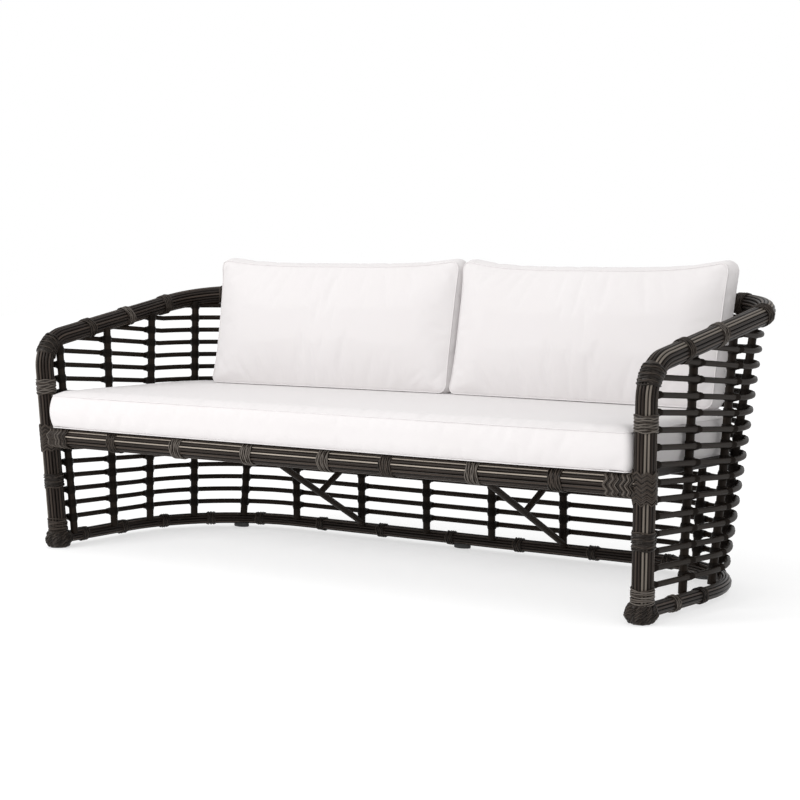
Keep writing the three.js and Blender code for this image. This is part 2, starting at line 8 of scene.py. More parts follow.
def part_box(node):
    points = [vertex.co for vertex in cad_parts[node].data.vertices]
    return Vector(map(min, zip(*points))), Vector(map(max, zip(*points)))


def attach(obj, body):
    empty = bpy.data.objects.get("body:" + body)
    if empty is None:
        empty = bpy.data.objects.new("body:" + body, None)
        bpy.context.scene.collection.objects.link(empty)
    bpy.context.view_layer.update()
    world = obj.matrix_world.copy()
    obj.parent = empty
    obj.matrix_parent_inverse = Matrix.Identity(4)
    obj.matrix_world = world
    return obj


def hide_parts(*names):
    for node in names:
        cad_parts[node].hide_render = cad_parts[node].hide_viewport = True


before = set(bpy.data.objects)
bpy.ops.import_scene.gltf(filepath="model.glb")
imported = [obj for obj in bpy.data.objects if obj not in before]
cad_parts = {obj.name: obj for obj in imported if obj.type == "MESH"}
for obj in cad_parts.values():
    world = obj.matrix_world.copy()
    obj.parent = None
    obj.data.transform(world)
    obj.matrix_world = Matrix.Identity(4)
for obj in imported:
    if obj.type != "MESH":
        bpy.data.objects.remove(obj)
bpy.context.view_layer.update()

print("frame loaded:", len(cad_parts), "nodes")

# Driving places of the poles, in metres. Depths are counted back from the front posts' axis,
# and the base rail's back says how far that axis lies from the middle of the sofa.
sofa = {
    "postHalfSpan": 0.950, "postFlare": 0.047, "postLean": 0.054,
    "frontRailZ": 0.316, "frontRailBow": 0.012, "frontRailInset": 0.014,
    "armFrontX": 0.960, "armFrontZ": 0.584, "armBend": 0.085,
    "topCornerX": 0.980, "topBackDepth": 0.668, "topBend": 0.150, "topRailZ": 0.706,
    "baseCornerX": 0.962, "baseBackDepth": 0.675, "baseBend": 0.349, "baseRailZ": 0.026,
    "poleRadius": 0.025, "strandRise": 0.0006, "frontRailRadius": 0.027, "baseRailRadius": 0.017,
    "rodRadius": 0.007, "rodCount": 17, "lowestRodZ": 0.077, "highestRodDrop": 0.035, "rodRise": 0.072,
    "uprightRadius": 0.0105, "lashGap": 0.0008,
    # how far the top rail goes into its feet, and how far from a pole's centre line a rod or an
    # upright ends inside it, as a share of the pole's radius
    "postSink": 0.006, "endShare": 0.6,
    "arcStep": math.radians(6), "armSteps": 14, "cornerSteps": 20, "frontRailSteps": 48,
}
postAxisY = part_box("base_rail_wrap")[1][1] - sofa["baseBackDepth"] - sofa["baseRailRadius"]
uprightInset = sofa["rodRadius"] + sofa["uprightRadius"] + sofa["lashGap"]


def lerp(a, b, share):
    return a + (b - a) * share


def unit(vectors):
    vectors = np.asarray(vectors, dtype=float)
    return vectors / np.linalg.norm(vectors, axis=-1, keepdims=True)


# lines that the poles follow


def postX(z):
    return sofa["postHalfSpan"] + sofa["postFlare"] * (z - sofa["frontRailZ"])


def postDepth(z):
    return -sofa["postLean"] * (z - sofa["frontRailZ"])


def heightShare(z):
    return (z - sofa["baseRailZ"]) / (sofa["topRailZ"] - sofa["baseRailZ"])


def wallPlan(z):
    # straight side, round corner and straight back of the wall at one height
    share = heightShare(z)
    corner = np.array([
        lerp(sofa["baseCornerX"], sofa["topCornerX"], share),
        lerp(sofa["baseBackDepth"], sofa["topBackDepth"], share),
    ])
    radius = lerp(sofa["baseBend"], sofa["topBend"], share)
    front = np.array([postX(z), 0.0])
    along = unit(corner - front)
    outward = np.array([along[1], -along[0]])
    turn = math.pi / 2 + math.atan2(along[0], along[1])
    arcStart = corner - along * radius * math.tan(turn / 2)
    return {
        "front": front, "along": along, "outward": outward, "arcStart": arcStart, "radius": radius,
        "centre": arcStart - outward * radius, "startAngle": math.atan2(outward[1], outward[0]),
    }


def onArc(plan, angle):
    outward = np.array([math.cos(angle), math.sin(angle)])
    return plan["centre"] + outward * plan["radius"], outward, angle


def planAtDepth(plan, depth):
    if depth > plan["arcStart"][1]:
        return onArc(plan, math.asin((depth - plan["centre"][1]) / plan["radius"]))
    length = (depth - plan["front"][1]) / plan["along"][1]
    return plan["front"] + plan["along"] * length, plan["outward"], None


def planAtWidth(plan, width):
    if width > plan["centre"][0]:
        return onArc(plan, math.acos((width - plan["centre"][0]) / plan["radius"]))
    return np.array([width, plan["centre"][1] + plan["radius"]]), np.array([0.0, 1.0]), None


def raised(place, z, inset=0.0):
    point, outward, _ = place
    x, depth = point - outward * inset
    return np.array([x, depth + postAxisY, z])


def mirrored(points):
    return [np.array([-x, y, z]) for x, y, z in points]


def wallLine(z, frontDepth):
    # one height's line from the right front round the back to the left front
    plan = wallPlan(z)
    front = planAtDepth(plan, frontDepth)
    start = plan["startAngle"] if front[2] is None else front[2]
    right = [raised(front, z)] if front[2] is None else []
    count = max(2, math.ceil((math.pi / 2 - start) / sofa["arcStep"]))
    right += [raised(onArc(plan, lerp(start, math.pi / 2, k / count)), z) for k in range(count + 1)]
    return right + mirrored(right)[::-1]


def roundedPath(corners, radii, steps):
    corners = [np.array(corner, dtype=float) for corner in corners]
    points = [corners[0]]
    for before, corner, after, radius, count in zip(corners, corners[1:], corners[2:], radii, steps):
        into = unit(corner - before)
        outOf = unit(after - corner)
        turn = math.acos(np.clip(into @ outOf, -1, 1))
        start = corner - into * radius * math.tan(turn / 2)
        inward = unit(outOf - into * (outOf @ into))
        for k in range(count + 1):
            angle = turn * k / count
            points.append(start + into * radius * math.sin(angle) + inward * radius * (1 - math.cos(angle)))
    points.append(corners[-1])
    return points


def topRailPath():
    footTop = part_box("foot_right")[1][2]
    heel = (postX(footTop), postDepth(footTop) + postAxisY, footTop - sofa["postSink"])
    bend = (sofa["armFrontX"], postDepth(sofa["armFrontZ"]) + postAxisY, sofa["armFrontZ"])
    corner = (sofa["topCornerX"], sofa["topBackDepth"] + postAxisY, sofa["topRailZ"])
    corners = [heel, bend, corner] + mirrored([heel, bend, corner])[::-1]
    radii = [sofa["armBend"], sofa["topBend"], sofa["topBend"], sofa["armBend"]]
    steps = [sofa["armSteps"], sofa["cornerSteps"], sofa["cornerSteps"], sofa["armSteps"]]
    return roundedPath(corners, radii, steps)


def frontRailPath():
    # a shallow bow to the front, deepest in the middle
    count = sofa["frontRailSteps"]
    points = []
    for k in range(count + 1):
        share = k / count
        x = lerp(1, -1, share) * (sofa["postHalfSpan"] - sofa["frontRailInset"])
        y = postAxisY - 4 * sofa["frontRailBow"] * share * (1 - share)
        points.append(np.array([x, y, sofa["frontRailZ"]]))
    return points


def densified(points, longest):
    result = [points[0]]
    for a, b in zip(points, points[1:]):
        count = max(1, math.ceil(np.linalg.norm(b - a) / longest))
        result += [lerp(a, b, (k + 1) / count) for k in range(count)]
    return result


def poleLine(points, reference):
    # the line with its lengths and a frame that turns no more than the line does
    points = np.array(points)
    steps = np.linalg.norm(np.diff(points, axis=0), axis=1)
    tangents = unit(np.gradient(points, axis=0))
    side = np.array(reference, dtype=float)
    sides = []
    for tangent in tangents:
        side = unit(side - tangent * (side @ tangent))
        sides.append(side)
    sides = np.array(sides)
    return {"points": points, "lengths": np.concatenate([[0], np.cumsum(steps)]), "sides": sides,
            "others": np.cross(tangents, sides)}


def alongLine(line, lengths, key):
    return np.stack([np.interp(lengths, line["lengths"], line[key][:, axis]) for axis in range(3)], axis=-1)


def lengthWhere(line, axis, value):
    values = line["points"][:, axis]
    i = int(np.argmax(values > value))
    share = (value - values[i - 1]) / (values[i] - values[i - 1])
    return lerp(line["lengths"][i - 1], line["lengths"][i], share)


def onSide(line, length, side):
    # lines start on the right, so a place on the left is counted from the other end
    return length if side > 0 else line["lengths"][-1] - length


# meshes


# a cord's lit share at its sides; below that the cane materials paint shade between cords, and under a cord
# it is 0
cordSideLitShare = 0.1
sharpEdges = {"strand": math.radians(55), "rod": math.radians(60), "pad": math.radians(50)}


def sweep(line, ring, slots=None, litShare=1.0):
    # ring is a closed outline of (side, other) places, one for all stations or one for each;
    # the lit share runs from 0 between strands, where the cane materials paint shade, to 1 on a strand's back
    ring = np.asarray(ring, dtype=float)
    count = len(line["points"])
    if ring.ndim == 2:
        ring = np.broadcast_to(ring, (count, *ring.shape))
    corners = ring.shape[1]
    vertices = (line["points"][:, None] + ring[..., :1] * line["sides"][:, None]
                + ring[..., 1:] * line["others"][:, None])
    lengths = np.broadcast_to(line["lengths"][:, None, None], (count, corners, 1))
    place = np.concatenate([ring, lengths], axis=-1)
    i, j = np.meshgrid(np.arange(count - 1), np.arange(corners), indexing="ij")
    a = i * corners + j
    b = i * corners + (j + 1) % corners
    faces = np.stack([a, b, b + corners, a + corners], axis=-1).reshape(-1, 4).tolist()
    faceSlots = [0] * len(faces) if slots is None else np.broadcast_to(slots, a.shape).reshape(-1).tolist()
    faces += [list(range(corners))[::-1], list(range((count - 1) * corners, count * corners))]
    faceSlots += [faceSlots[0], faceSlots[0]]
    return {"vertices": vertices.reshape(-1, 3), "faces": faces, "slots": faceSlots,
            "place": place.reshape(-1, 3), "litShare": np.broadcast_to(litShare, (count, corners)).reshape(-1)}


def circle(radius, sides):
    angles = np.arange(sides) * 2 * math.pi / sides
    return np.stack([radius * np.cos(angles), radius * np.sin(angles)], axis=-1)


def closedTube(points, normals, radius, sides, slot=0):
    # a cord whose ends meet; normals point away from what it is wound round
    points = np.asarray(points)
    tangents = unit(np.roll(points, -1, axis=0) - np.roll(points, 1, axis=0))
    side = unit(normals - tangents * np.sum(normals * tangents, axis=-1, keepdims=True))
    other = np.cross(tangents, side)
    ring = circle(radius, sides)
    count = len(points)
    vertices = points[:, None] + ring[None, :, :1] * side[:, None] + ring[None, :, 1:] * other[:, None]
    steps = np.linalg.norm(np.roll(points, -1, axis=0) - points, axis=1)
    lengths = np.concatenate([[0], np.cumsum(steps)[:-1]])
    place = np.concatenate([np.broadcast_to(ring, (count, sides, 2)),
                            np.broadcast_to(lengths[:, None, None], (count, sides, 1))], axis=-1)
    i, j = np.meshgrid(np.arange(count), np.arange(sides), indexing="ij")
    a = i * sides + j
    b = i * sides + (j + 1) % sides
    ahead = ((i + 1) % count) * sides
    faces = np.stack([a, b, ahead + (j + 1) % sides, ahead + j], axis=-1).reshape(-1, 4).tolist()
    # painted shade on a cord's sides and on the side against what it is wound round
    litShare = np.clip(cordSideLitShare + (1 - cordSideLitShare) * ring[:, 0] / radius, 0, 1)
    return {"vertices": vertices.reshape(-1, 3), "faces": faces, "slots": [slot] * len(faces),
            "place": place.reshape(-1, 3), "litShare": np.broadcast_to(litShare, (count, sides)).reshape(-1)}


def makePiece(name, parts, materials, body="frame", instead=(), sharp=None):
    vertices = np.concatenate([part["vertices"] for part in parts])
    faces, slots, start = [], [], 0
    for part in parts:
        faces += [[index + start for index in face] for face in part["faces"]]
        slots += part["slots"]
        start += len(part["vertices"])
    mesh = bpy.data.meshes.new(name)
    mesh.from_pydata(vertices.tolist(), [], faces)
    for material in materials:
        mesh.materials.append(material)
    mesh.polygons.foreach_set("material_index", slots)
    mesh.polygons.foreach_set("use_smooth", [True] * len(faces))
    place = mesh.attributes.new("polePlace", "FLOAT_VECTOR", "POINT")
    place.data.foreach_set("vector", np.concatenate([part["place"] for part in parts]).reshape(-1))
    # how much of a surface keeps its own colour; where this falls the cane materials paint shade between
    # strands, cords and turns
    litShare = mesh.attributes.new("litShare", "FLOAT", "POINT")
    litShare.data.foreach_set("value", np.concatenate([part["litShare"] for part in parts]))
    if sharp:
        mesh.set_sharp_from_angle(angle=sharp)
    mesh.update()
    piece = bpy.data.objects.new(name, mesh)
    bpy.context.collection.objects.link(piece)
    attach(piece, body)
    if instead:
        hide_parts(*instead)


# materials


def addGroup(name, inputs, outputs):
    group = bpy.data.node_groups.new(name, "ShaderNodeTree")
    for socketName, kind, value in inputs:
        socket = group.interface.new_socket(name=socketName, in_out="INPUT", socket_type=kind)
        socket.default_value = value
    for socketName, kind in outputs:
        group.interface.new_socket(name=socketName, in_out="OUTPUT", socket_type=kind)
    return group, group.nodes.new("NodeGroupInput"), group.nodes.new("NodeGroupOutput")


def feed(links, value, socket):
    if isinstance(value, (int, float, tuple)):
        socket.default_value = value
    else:
        links.new(value, socket)


def mathNode(nodes, links, operation, *values, clamp=False):
    node = nodes.new("ShaderNodeMath")
    node.operation = operation
    node.use_clamp = clamp
    for i, value in enumerate(values):
        feed(links, value, node.inputs[i])
    return node.outputs[0]


def mixColour(nodes, links, factor, a, b):
    node = nodes.new("ShaderNodeMix")
    node.data_type = "RGBA"
    for value, i in ((factor, 0), (a, 6), (b, 7)):
        feed(links, value, node.inputs[i])
    return node.outputs[2]


def addBump(nodes, links, height, shader, strength, depth):
    bump = nodes.new("ShaderNodeBump")
    bump.inputs["Strength"].default_value = strength
    bump.inputs["Distance"].default_value = depth
    links.new(height, bump.inputs["Height"])
    links.new(bump.outputs["Normal"], shader.inputs["Normal"])


caneLook = {
    # noise scales across, across and along a strand
    "fineScale": (1500, 1500, 14), "fineDetail": 2, "slowScale": (90, 90, 5), "slowDetail": 3,
    # what a noise is multiplied by, and what is added then
    "fineSpread": (2.4, -0.85), "slowSpread": (1.4, -0.35), "roughSpread": (0.3, -0.15),
    # the next two: the near-black colour painted as shade between strands, and how fast it gives way towards
    # a strand's back
    "grooveShade": (0.0015, 0.0012, 0.001, 1), "grooveShadeFall": 1.6, "bump": 0.3, "bumpDepth": 0.0004,
}


def makeFibreGroup():
    # streaks that run along a strand, a slow change of tone along it, fine lengthwise grooves, and
    # painted shade down between the strands, where the lit share is low
    group, groupIn, groupOut = addGroup(
        "caneFibre",
        [("Colour", "NodeSocketColor", (0.03, 0.025, 0.02, 1)),
         ("Streak", "NodeSocketColor", (0.1, 0.08, 0.07, 1)),
         ("Streak share", "NodeSocketFloat", 0.5), ("Roughness", "NodeSocketFloat", 0.4)],
        [("Colour", "NodeSocketColor"), ("Roughness", "NodeSocketFloat"), ("Height", "NodeSocketFloat")],
    )
    nodes, links = group.nodes, group.links
    place = nodes.new("ShaderNodeAttribute")
    place.attribute_name = "polePlace"
    litShare = nodes.new("ShaderNodeAttribute")
    litShare.attribute_name = "litShare"

    def fibres(scale, detail):
        mapping = nodes.new("ShaderNodeMapping")
        mapping.inputs["Scale"].default_value = scale
        links.new(place.outputs["Vector"], mapping.inputs["Vector"])
        texture = nodes.new("ShaderNodeTexNoise")
        texture.inputs["Scale"].default_value = 1.0
        texture.inputs["Detail"].default_value = detail
        links.new(mapping.outputs["Vector"], texture.inputs["Vector"])
        return texture.outputs[0]

    fine = fibres(caneLook["fineScale"], caneLook["fineDetail"])
    slow = fibres(caneLook["slowScale"], caneLook["slowDetail"])
    spread = mathNode(nodes, links, "MULTIPLY_ADD", fine, *caneLook["fineSpread"])
    toned = mathNode(nodes, links, "MULTIPLY_ADD", slow, *caneLook["slowSpread"])
    both = mathNode(nodes, links, "MULTIPLY", spread, toned)
    streaks = mathNode(nodes, links, "MULTIPLY", both, groupIn.outputs["Streak share"], clamp=True)
    strand = mixColour(nodes, links, streaks, groupIn.outputs["Colour"], groupIn.outputs["Streak"])
    # painted shade: where the lit share falls between strands, cords and turns, the colour goes to the dark
    # shade colour
    lit = mathNode(nodes, links, "POWER", litShare.outputs["Fac"], caneLook["grooveShadeFall"])
    rougher = mathNode(nodes, links, "MULTIPLY_ADD", slow, *caneLook["roughSpread"])
    rough = mathNode(nodes, links, "ADD", rougher, groupIn.outputs["Roughness"])
    links.new(mixColour(nodes, links, lit, caneLook["grooveShade"], strand), groupOut.inputs["Colour"])
    links.new(rough, groupOut.inputs["Roughness"])
    links.new(fine, groupOut.inputs["Height"])
    return group


def makeWeaveGroup():
    # plain weave on whichever two axes the surface faces across, and a soft mottle in the cloth's tone
    group, groupIn, groupOut = addGroup(
        "plainWeave",
        [("Threads per metre", "NodeSocketFloat", 700.0), ("Mottle scale", "NodeSocketFloat", 5.0)],
        [("Height", "NodeSocketFloat"), ("Mottle", "NodeSocketFloat")],
    )
    nodes, links = group.nodes, group.links
    coordinates = nodes.new("ShaderNodeTexCoord")
    split = nodes.new("ShaderNodeSeparateXYZ")
    links.new(coordinates.outputs["Object"], split.inputs[0])
    facing = nodes.new("ShaderNodeSeparateXYZ")
    geometry = nodes.new("ShaderNodeNewGeometry")
    links.new(geometry.outputs["True Normal"], facing.inputs[0])
    turns = mathNode(nodes, links, "MULTIPLY", groupIn.outputs["Threads per metre"], math.pi)
    waves = []
    for axis in range(3):
        angle = mathNode(nodes, links, "MULTIPLY", split.outputs[axis], turns)
        waves.append(mathNode(nodes, links, "SINE", angle))
    total = None
    for axis in range(3):
        cross = mathNode(nodes, links, "MULTIPLY", waves[(axis + 1) % 3], waves[(axis + 2) % 3])
        share = mathNode(nodes, links, "ABSOLUTE", facing.outputs[axis])
        part = mathNode(nodes, links, "MULTIPLY", cross, share)
        total = part if total is None else mathNode(nodes, links, "ADD", total, part)
    mottle = nodes.new("ShaderNodeTexNoise")
    links.new(coordinates.outputs["Object"], mottle.inputs["Vector"])
    links.new(groupIn.outputs["Mottle scale"], mottle.inputs["Scale"])
    links.new(total, groupOut.inputs["Height"])
    links.new(mottle.outputs[0], groupOut.inputs["Mottle"])
    return group


def newMaterial(name):
    material = bpy.data.materials.new(name)
    material.use_nodes = True
    tree = material.node_tree
    return material, tree.nodes, tree.links, tree.nodes["Principled BSDF"]


def caneMaterial(name, colour, streak, streakShare, roughness, gloss):
    material, nodes, links, shader = newMaterial(name)
    fibre = nodes.new("ShaderNodeGroup")
    fibre.node_tree = fibreGroup
    fibre.inputs["Colour"].default_value = (*colour, 1)
    fibre.inputs["Streak"].default_value = (*streak, 1)
    fibre.inputs["Streak share"].default_value = streakShare
    fibre.inputs["Roughness"].default_value = roughness
    addBump(nodes, links, fibre.outputs["Height"], shader, caneLook["bump"], caneLook["bumpDepth"])
    links.new(fibre.outputs["Colour"], shader.inputs["Base Color"])
    links.new(fibre.outputs["Roughness"], shader.inputs["Roughness"])
    shader.inputs["Specular IOR Level"].default_value = gloss
    return material


def clothMaterial(name, look):
    material, nodes, links, shader = newMaterial(name)
    weave = nodes.new("ShaderNodeGroup")
    weave.node_tree = weaveGroup
    weave.inputs["Threads per metre"].default_value = look["threadsPerMetre"]
    weave.inputs["Mottle scale"].default_value = look["mottleScale"]
    colour = mixColour(nodes, links, weave.outputs["Mottle"], (*look["pale"], 1), (*look["darkerTone"], 1))
    links.new(colour, shader.inputs["Base Color"])
    addBump(nodes, links, weave.outputs["Height"], shader, look["bump"], look["bumpDepth"])
    shader.inputs["Roughness"].default_value = look["roughness"]
    shader.inputs["Sheen Weight"].default_value = look["sheen"]
    shader.inputs["Sheen Roughness"].default_value = look["sheenRoughness"]
    return material


coatLook = {"grainScale": 900, "roughSpread": 0.2, "bump": 0.15, "bumpDepth": 0.0003}


def coatedMaterial(name, colour, metallic, roughness):
    # a powder coat with a slight grain
    material, nodes, links, shader = newMaterial(name)
    coordinates = nodes.new("ShaderNodeTexCoord")
    grain = nodes.new("ShaderNodeTexNoise")
    grain.inputs["Scale"].default_value = coatLook["grainScale"]
    links.new(coordinates.outputs["Object"], grain.inputs["Vector"])
    addBump(nodes, links, grain.outputs[0], shader, coatLook["bump"], coatLook["bumpDepth"])
    rough = mathNode(nodes, links, "MULTIPLY_ADD", grain.outputs[0], coatLook["roughSpread"],
                     roughness - coatLook["roughSpread"] / 2)
    links.new(rough, shader.inputs["Roughness"])
    shader.inputs["Base Color"].default_value = (*colour, 1)
    shader.inputs["Metallic"].default_value = metallic
    return material


# colour, colour of the streaks, how much of it streaks, roughness, gloss
canes = {
    "darkCane": ((0.012, 0.008, 0.006), (0.085, 0.064, 0.051), 0.9, 0.36, 0.12),
    "brownCane": ((0.032, 0.023, 0.018), (0.160, 0.124, 0.099), 0.9, 0.36, 0.12),
    "paleCane": ((0.125, 0.106, 0.088), (0.330, 0.288, 0.248), 0.9, 0.40, 0.12),
    "creamCane": ((0.300, 0.258, 0.215), (0.640, 0.570, 0.495), 1.0, 0.40, 0.12),
    "thinCane": ((0.009, 0.006, 0.004), (0.048, 0.033, 0.024), 0.8, 0.45, 0.08),
    "greyCord": ((0.120, 0.104, 0.090), (0.420, 0.370, 0.325), 0.9, 0.42, 0.12),
    "brownCord": ((0.046, 0.036, 0.029), (0.230, 0.188, 0.158), 0.9, 0.42, 0.12),
    "darkCord": ((0.011, 0.008, 0.006), (0.140, 0.115, 0.098), 0.9, 0.32, 0.16),
}
# colour, metallic, roughness
coats = {
    "darkCoat": ((0.035, 0.031, 0.028), 0.3, 0.5),
    "bareTube": ((0.55, 0.56, 0.57), 0.9, 0.45),
    "glide": ((0.02, 0.02, 0.02), 0.0, 0.6),
}
fibreGroup = makeFibreGroup()
weaveGroup = makeWeaveGroup()
finishes = {name: caneMaterial(name, *values) for name, values in canes.items()}
finishes.update({name: coatedMaterial(name, *values) for name, values in coats.items()})
print("materials made:", len(finishes))


# poles of many strands


# which of its pole's three finishes a strand has, and how wide it is; c is a narrow stripe
strandKinds = {"d": (0, 1.0), "b": (1, 1.0), "p": (2, 0.85), "c": (2, 0.5)}
# lit share of the points of a strand's outline, from the dip before it over its back to the next; shade is
# painted where it is low
strandLitShare = (0.0, 0.2, 0.7, 1.0, 1.0, 0.7, 0.2)
# how far apart two strands lie in the noise, its pace along the pole, and where it starts
strandWander = {"lift": (7.3, 5.0, 0.0), "drift": (3.1, 3.0, 40.0)}


def strandRing(radius, pattern, turn):
    # one outline of round strands side by side; a letter says which finish and how wide
    widths = np.array([strandKinds[letter][1] for letter in pattern])
    halves = math.pi * widths / widths.sum()
    starts = turn + np.concatenate([[0], np.cumsum(2 * halves)])
    ring = []
    for half, start in zip(halves, starts):
        core = radius / (1 + math.sin(half))
        reach = math.pi / 2 + half
        for m in range(len(strandLitShare)):
            angle = start + half + lerp(-reach, reach, m / len(strandLitShare))
            ring.append((core * (math.cos(start + half) + math.sin(half) * math.cos(angle)),
                         core * (math.sin(start + half) + math.sin(half) * math.sin(angle))))
    return np.array(ring)


def wander(kind, strand, length, seed):
    apart, pace, start = strandWander[kind]
    return noise.noise(Vector((strand * apart, length * pace, seed + start)))


def strandPole(line, settings):
    # each strand meanders a little, so the pole isn't a perfect extrusion
    pattern = settings["pattern"]
    each = len(strandLitShare)
    ring = strandRing(settings["radius"], pattern, settings["turn"])
    rings = np.repeat(ring[None], len(line["points"]), axis=0)
    for k in range(len(pattern)):
        outward = unit(ring[k * each:(k + 1) * each].mean(axis=0))
        across = np.array([-outward[1], outward[0]])
        for i, length in enumerate(line["lengths"]):
            move = (outward * wander("lift", k, length, settings["seed"])
                    + across * wander("drift", k, length, settings["seed"]))
            rings[i, k * each:(k + 1) * each] += settings["meander"] * move
    slots = np.repeat([strandKinds[letter][0] for letter in pattern], each)
    return sweep(line, rings, slots, litShare=np.tile(strandLitShare, len(pattern)))


def polePiece(name, line, settings, stripe, node):
    materials = [finishes["darkCane"], finishes["brownCane"], finishes[stripe]]
    makePiece(name, [strandPole(line, settings)], materials, instead=[node],
              sharp=sharpEdges["strand"])


cordSides = 6
fewestCords = 3
# how close a zigzag's corners come to sharp ones
zigzagShare = 0.99
# cords and sleeves stop this far from a line's ends
lineMargins = {"cord": 0.0005, "sleeve": 0.0002}
# how far apart the cords, the places along a pole and one cord's draws lie in the noise
chanceSteps = (5.7, 31.0, 17.0)


def ringPlaces(line, middle, radius, wave, count):
    # one cord wound once round a pole: it waves along the pole and in and out
    angles = np.arange(count) * 2 * math.pi / count
    swing = wave["waves"] * angles + wave["phase"]
    across = np.sin(swing)
    if wave["zigzag"]:
        across = np.arcsin(across * zigzagShare) * 2 / math.pi
    lengths = middle + wave["swing"] * across + wave["slant"] * np.cos(angles - wave["slantAt"])
    lengths = np.clip(lengths, lineMargins["cord"], line["lengths"][-1] - lineMargins["cord"])
    radii = radius + wave["lift"] * np.cos(swing)
    sides = unit(alongLine(line, lengths, "sides"))
    others = unit(alongLine(line, lengths, "others"))
    outward = sides * np.cos(angles)[:, None] + others * np.sin(angles)[:, None]
    return alongLine(line, lengths, "points") + outward * radii[:, None], outward


def sleeveUnder(line, start, end, radius, style):
    # a plain sleeve between the pole and its cords, a little thinner at its ends
    body = np.linspace(start + style["hem"], end - style["hem"], style["sleeveSteps"])
    lengths = np.array([start, *body, end])
    lengths = np.clip(lengths, lineMargins["sleeve"], line["lengths"][-1] - lineMargins["sleeve"])
    sleeve = {key: alongLine(line, lengths, key) for key in ("points", "sides", "others")}
    sleeve["lengths"] = lengths
    shares = [style["hemShare"]] + [1.0] * (len(lengths) - 2) + [style["hemShare"]]
    rings = np.stack([circle(radius * share + style["under"], style["sleeveSides"]) for share in shares])
    return sweep(sleeve, rings, np.full(style["sleeveSides"], 1))


def binding(line, middle, length, radius, style):
    # a sleeve, and cords that cross their neighbours over and under; shades are the finishes of
    # the cords in turn, 0 brown, 1 dark or 2 grey
    start = middle - length / 2
    parts = [sleeveUnder(line, start, middle + length / 2, radius, style)]
    cords = max(fewestCords, round(length / style["pitch"]))
    for i in range(cords):
        chance = [noise.noise(Vector((i * chanceSteps[0], middle * chanceSteps[1],
                                      style["seed"] + k * chanceSteps[2]))) for k in range(4)]
        place = start + length * (i + 0.5) / cords + chance[0] * style["stray"]
        wave = {**style, "phase": style["seed"], "slant": style["slant"] + chance[2] * style["stray"] * 2}
        if not style["zigzag"]:
            wave["phase"] = math.pi * (i % 2) + style["seed"] + chance[1] * style["phaseStray"]
        reach = radius + style["rise"] + abs(chance[3]) * style["uneven"]
        points, outward = ringPlaces(line, place, reach, wave, style["steps"])
        slot = style["shades"][i % len(style["shades"])]
        parts.append(closedTube(points, outward, style["cordRadius"], cordSides, slot))
    return parts


plainStyle = {
    "pitch": 0.0035, "cordRadius": 0.00185, "rise": 0.0008, "lift": 0.0008, "waves": 4, "swing": 0.0014,
    "slant": 0.0, "slantAt": 0.0, "seed": 0.4, "steps": 56, "zigzag": False, "shades": (0,),
    "stray": 0.0016, "phaseStray": 2, "uneven": 0.001,
    "under": 0.0005, "hem": 0.003, "hemShare": 0.9, "sleeveSides": 32, "sleeveSteps": 6,
}
cordFinishes = [finishes["brownCord"], finishes["darkCord"], finishes["greyCord"]]
cordShades = {"brown": (0, 1, 0, 0), "dark": (1, 1, 0, 1), "grey": (2, 2, 0, 2)}

topRail = {
    "radius": sofa["poleRadius"] + sofa["strandRise"], "turn": math.radians(-14.6), "seed": 1.0,
    "meander": 0.0008,
    "pattern": "dbddbdbddbddbdppd", "longest": 0.03,
    "bindings": [
        # the middle of each by its height (axis 2) or its depth (axis 1) on both sides; slant is how
        # far its turns lean
        {"axis": 2, "right": 0.192, "left": 0.192, "length": 0.040, "slant": 0.000, "shade": "dark"},
        {"axis": 2, "right": 0.458, "left": 0.458, "length": 0.040, "slant": 0.000, "shade": "grey"},
        {"axis": 2, "right": 0.562, "left": 0.566, "length": 0.046, "slant": 0.006, "shade": "dark"},
        {"axis": 1, "right": 0.144, "left": 0.165, "length": 0.026, "slant": -0.005, "shade": "brown"},
        {"axis": 1, "right": 0.307, "left": 0.328, "length": 0.026, "slant": -0.005, "shade": "grey"},
        {"axis": 1, "right": 0.535, "left": 0.495, "length": 0.032, "slant": 0.004, "shade": "brown"},
    ],
    "bindingSeeds": (0.4, 1.7),
    "backBindingX": (0.0, 0.24, 0.48, 0.70, 0.865), "backBindingLength": 0.034, "backSeed": 9.0,
}
topLine = poleLine(densified(topRailPath(), topRail["longest"]), (1, 0, 0))
polePiece("topRailCane", topLine, topRail, "paleCane", "top_rail_wrap")

halfLength = topLine["lengths"][-1] / 2
parts = []
seed, seedStep = topRail["bindingSeeds"]
for i, place in enumerate(topRail["bindings"]):
    for side, value in ((1, place["right"]), (-1, place["left"])):
        middle = lengthWhere(topLine, place["axis"], value + (postAxisY if place["axis"] == 1 else 0))
        style = {**plainStyle, "seed": seed + seedStep * i + side, "slant": place["slant"],
                 "slantAt": math.pi / 2, "shades": cordShades[place["shade"]]}
        parts += binding(topLine, onSide(topLine, middle, side), place["length"], topRail["radius"], style)
for i, x in enumerate(topRail["backBindingX"]):
    # a set, so that the one in the middle is made once
    for middle in {halfLength - x, halfLength + x}:
        parts += binding(topLine, middle, topRail["backBindingLength"], topRail["radius"],
                         {**plainStyle, "seed": topRail["backSeed"] + i})
makePiece("topRailBindings", parts, cordFinishes)
print("top rail made")

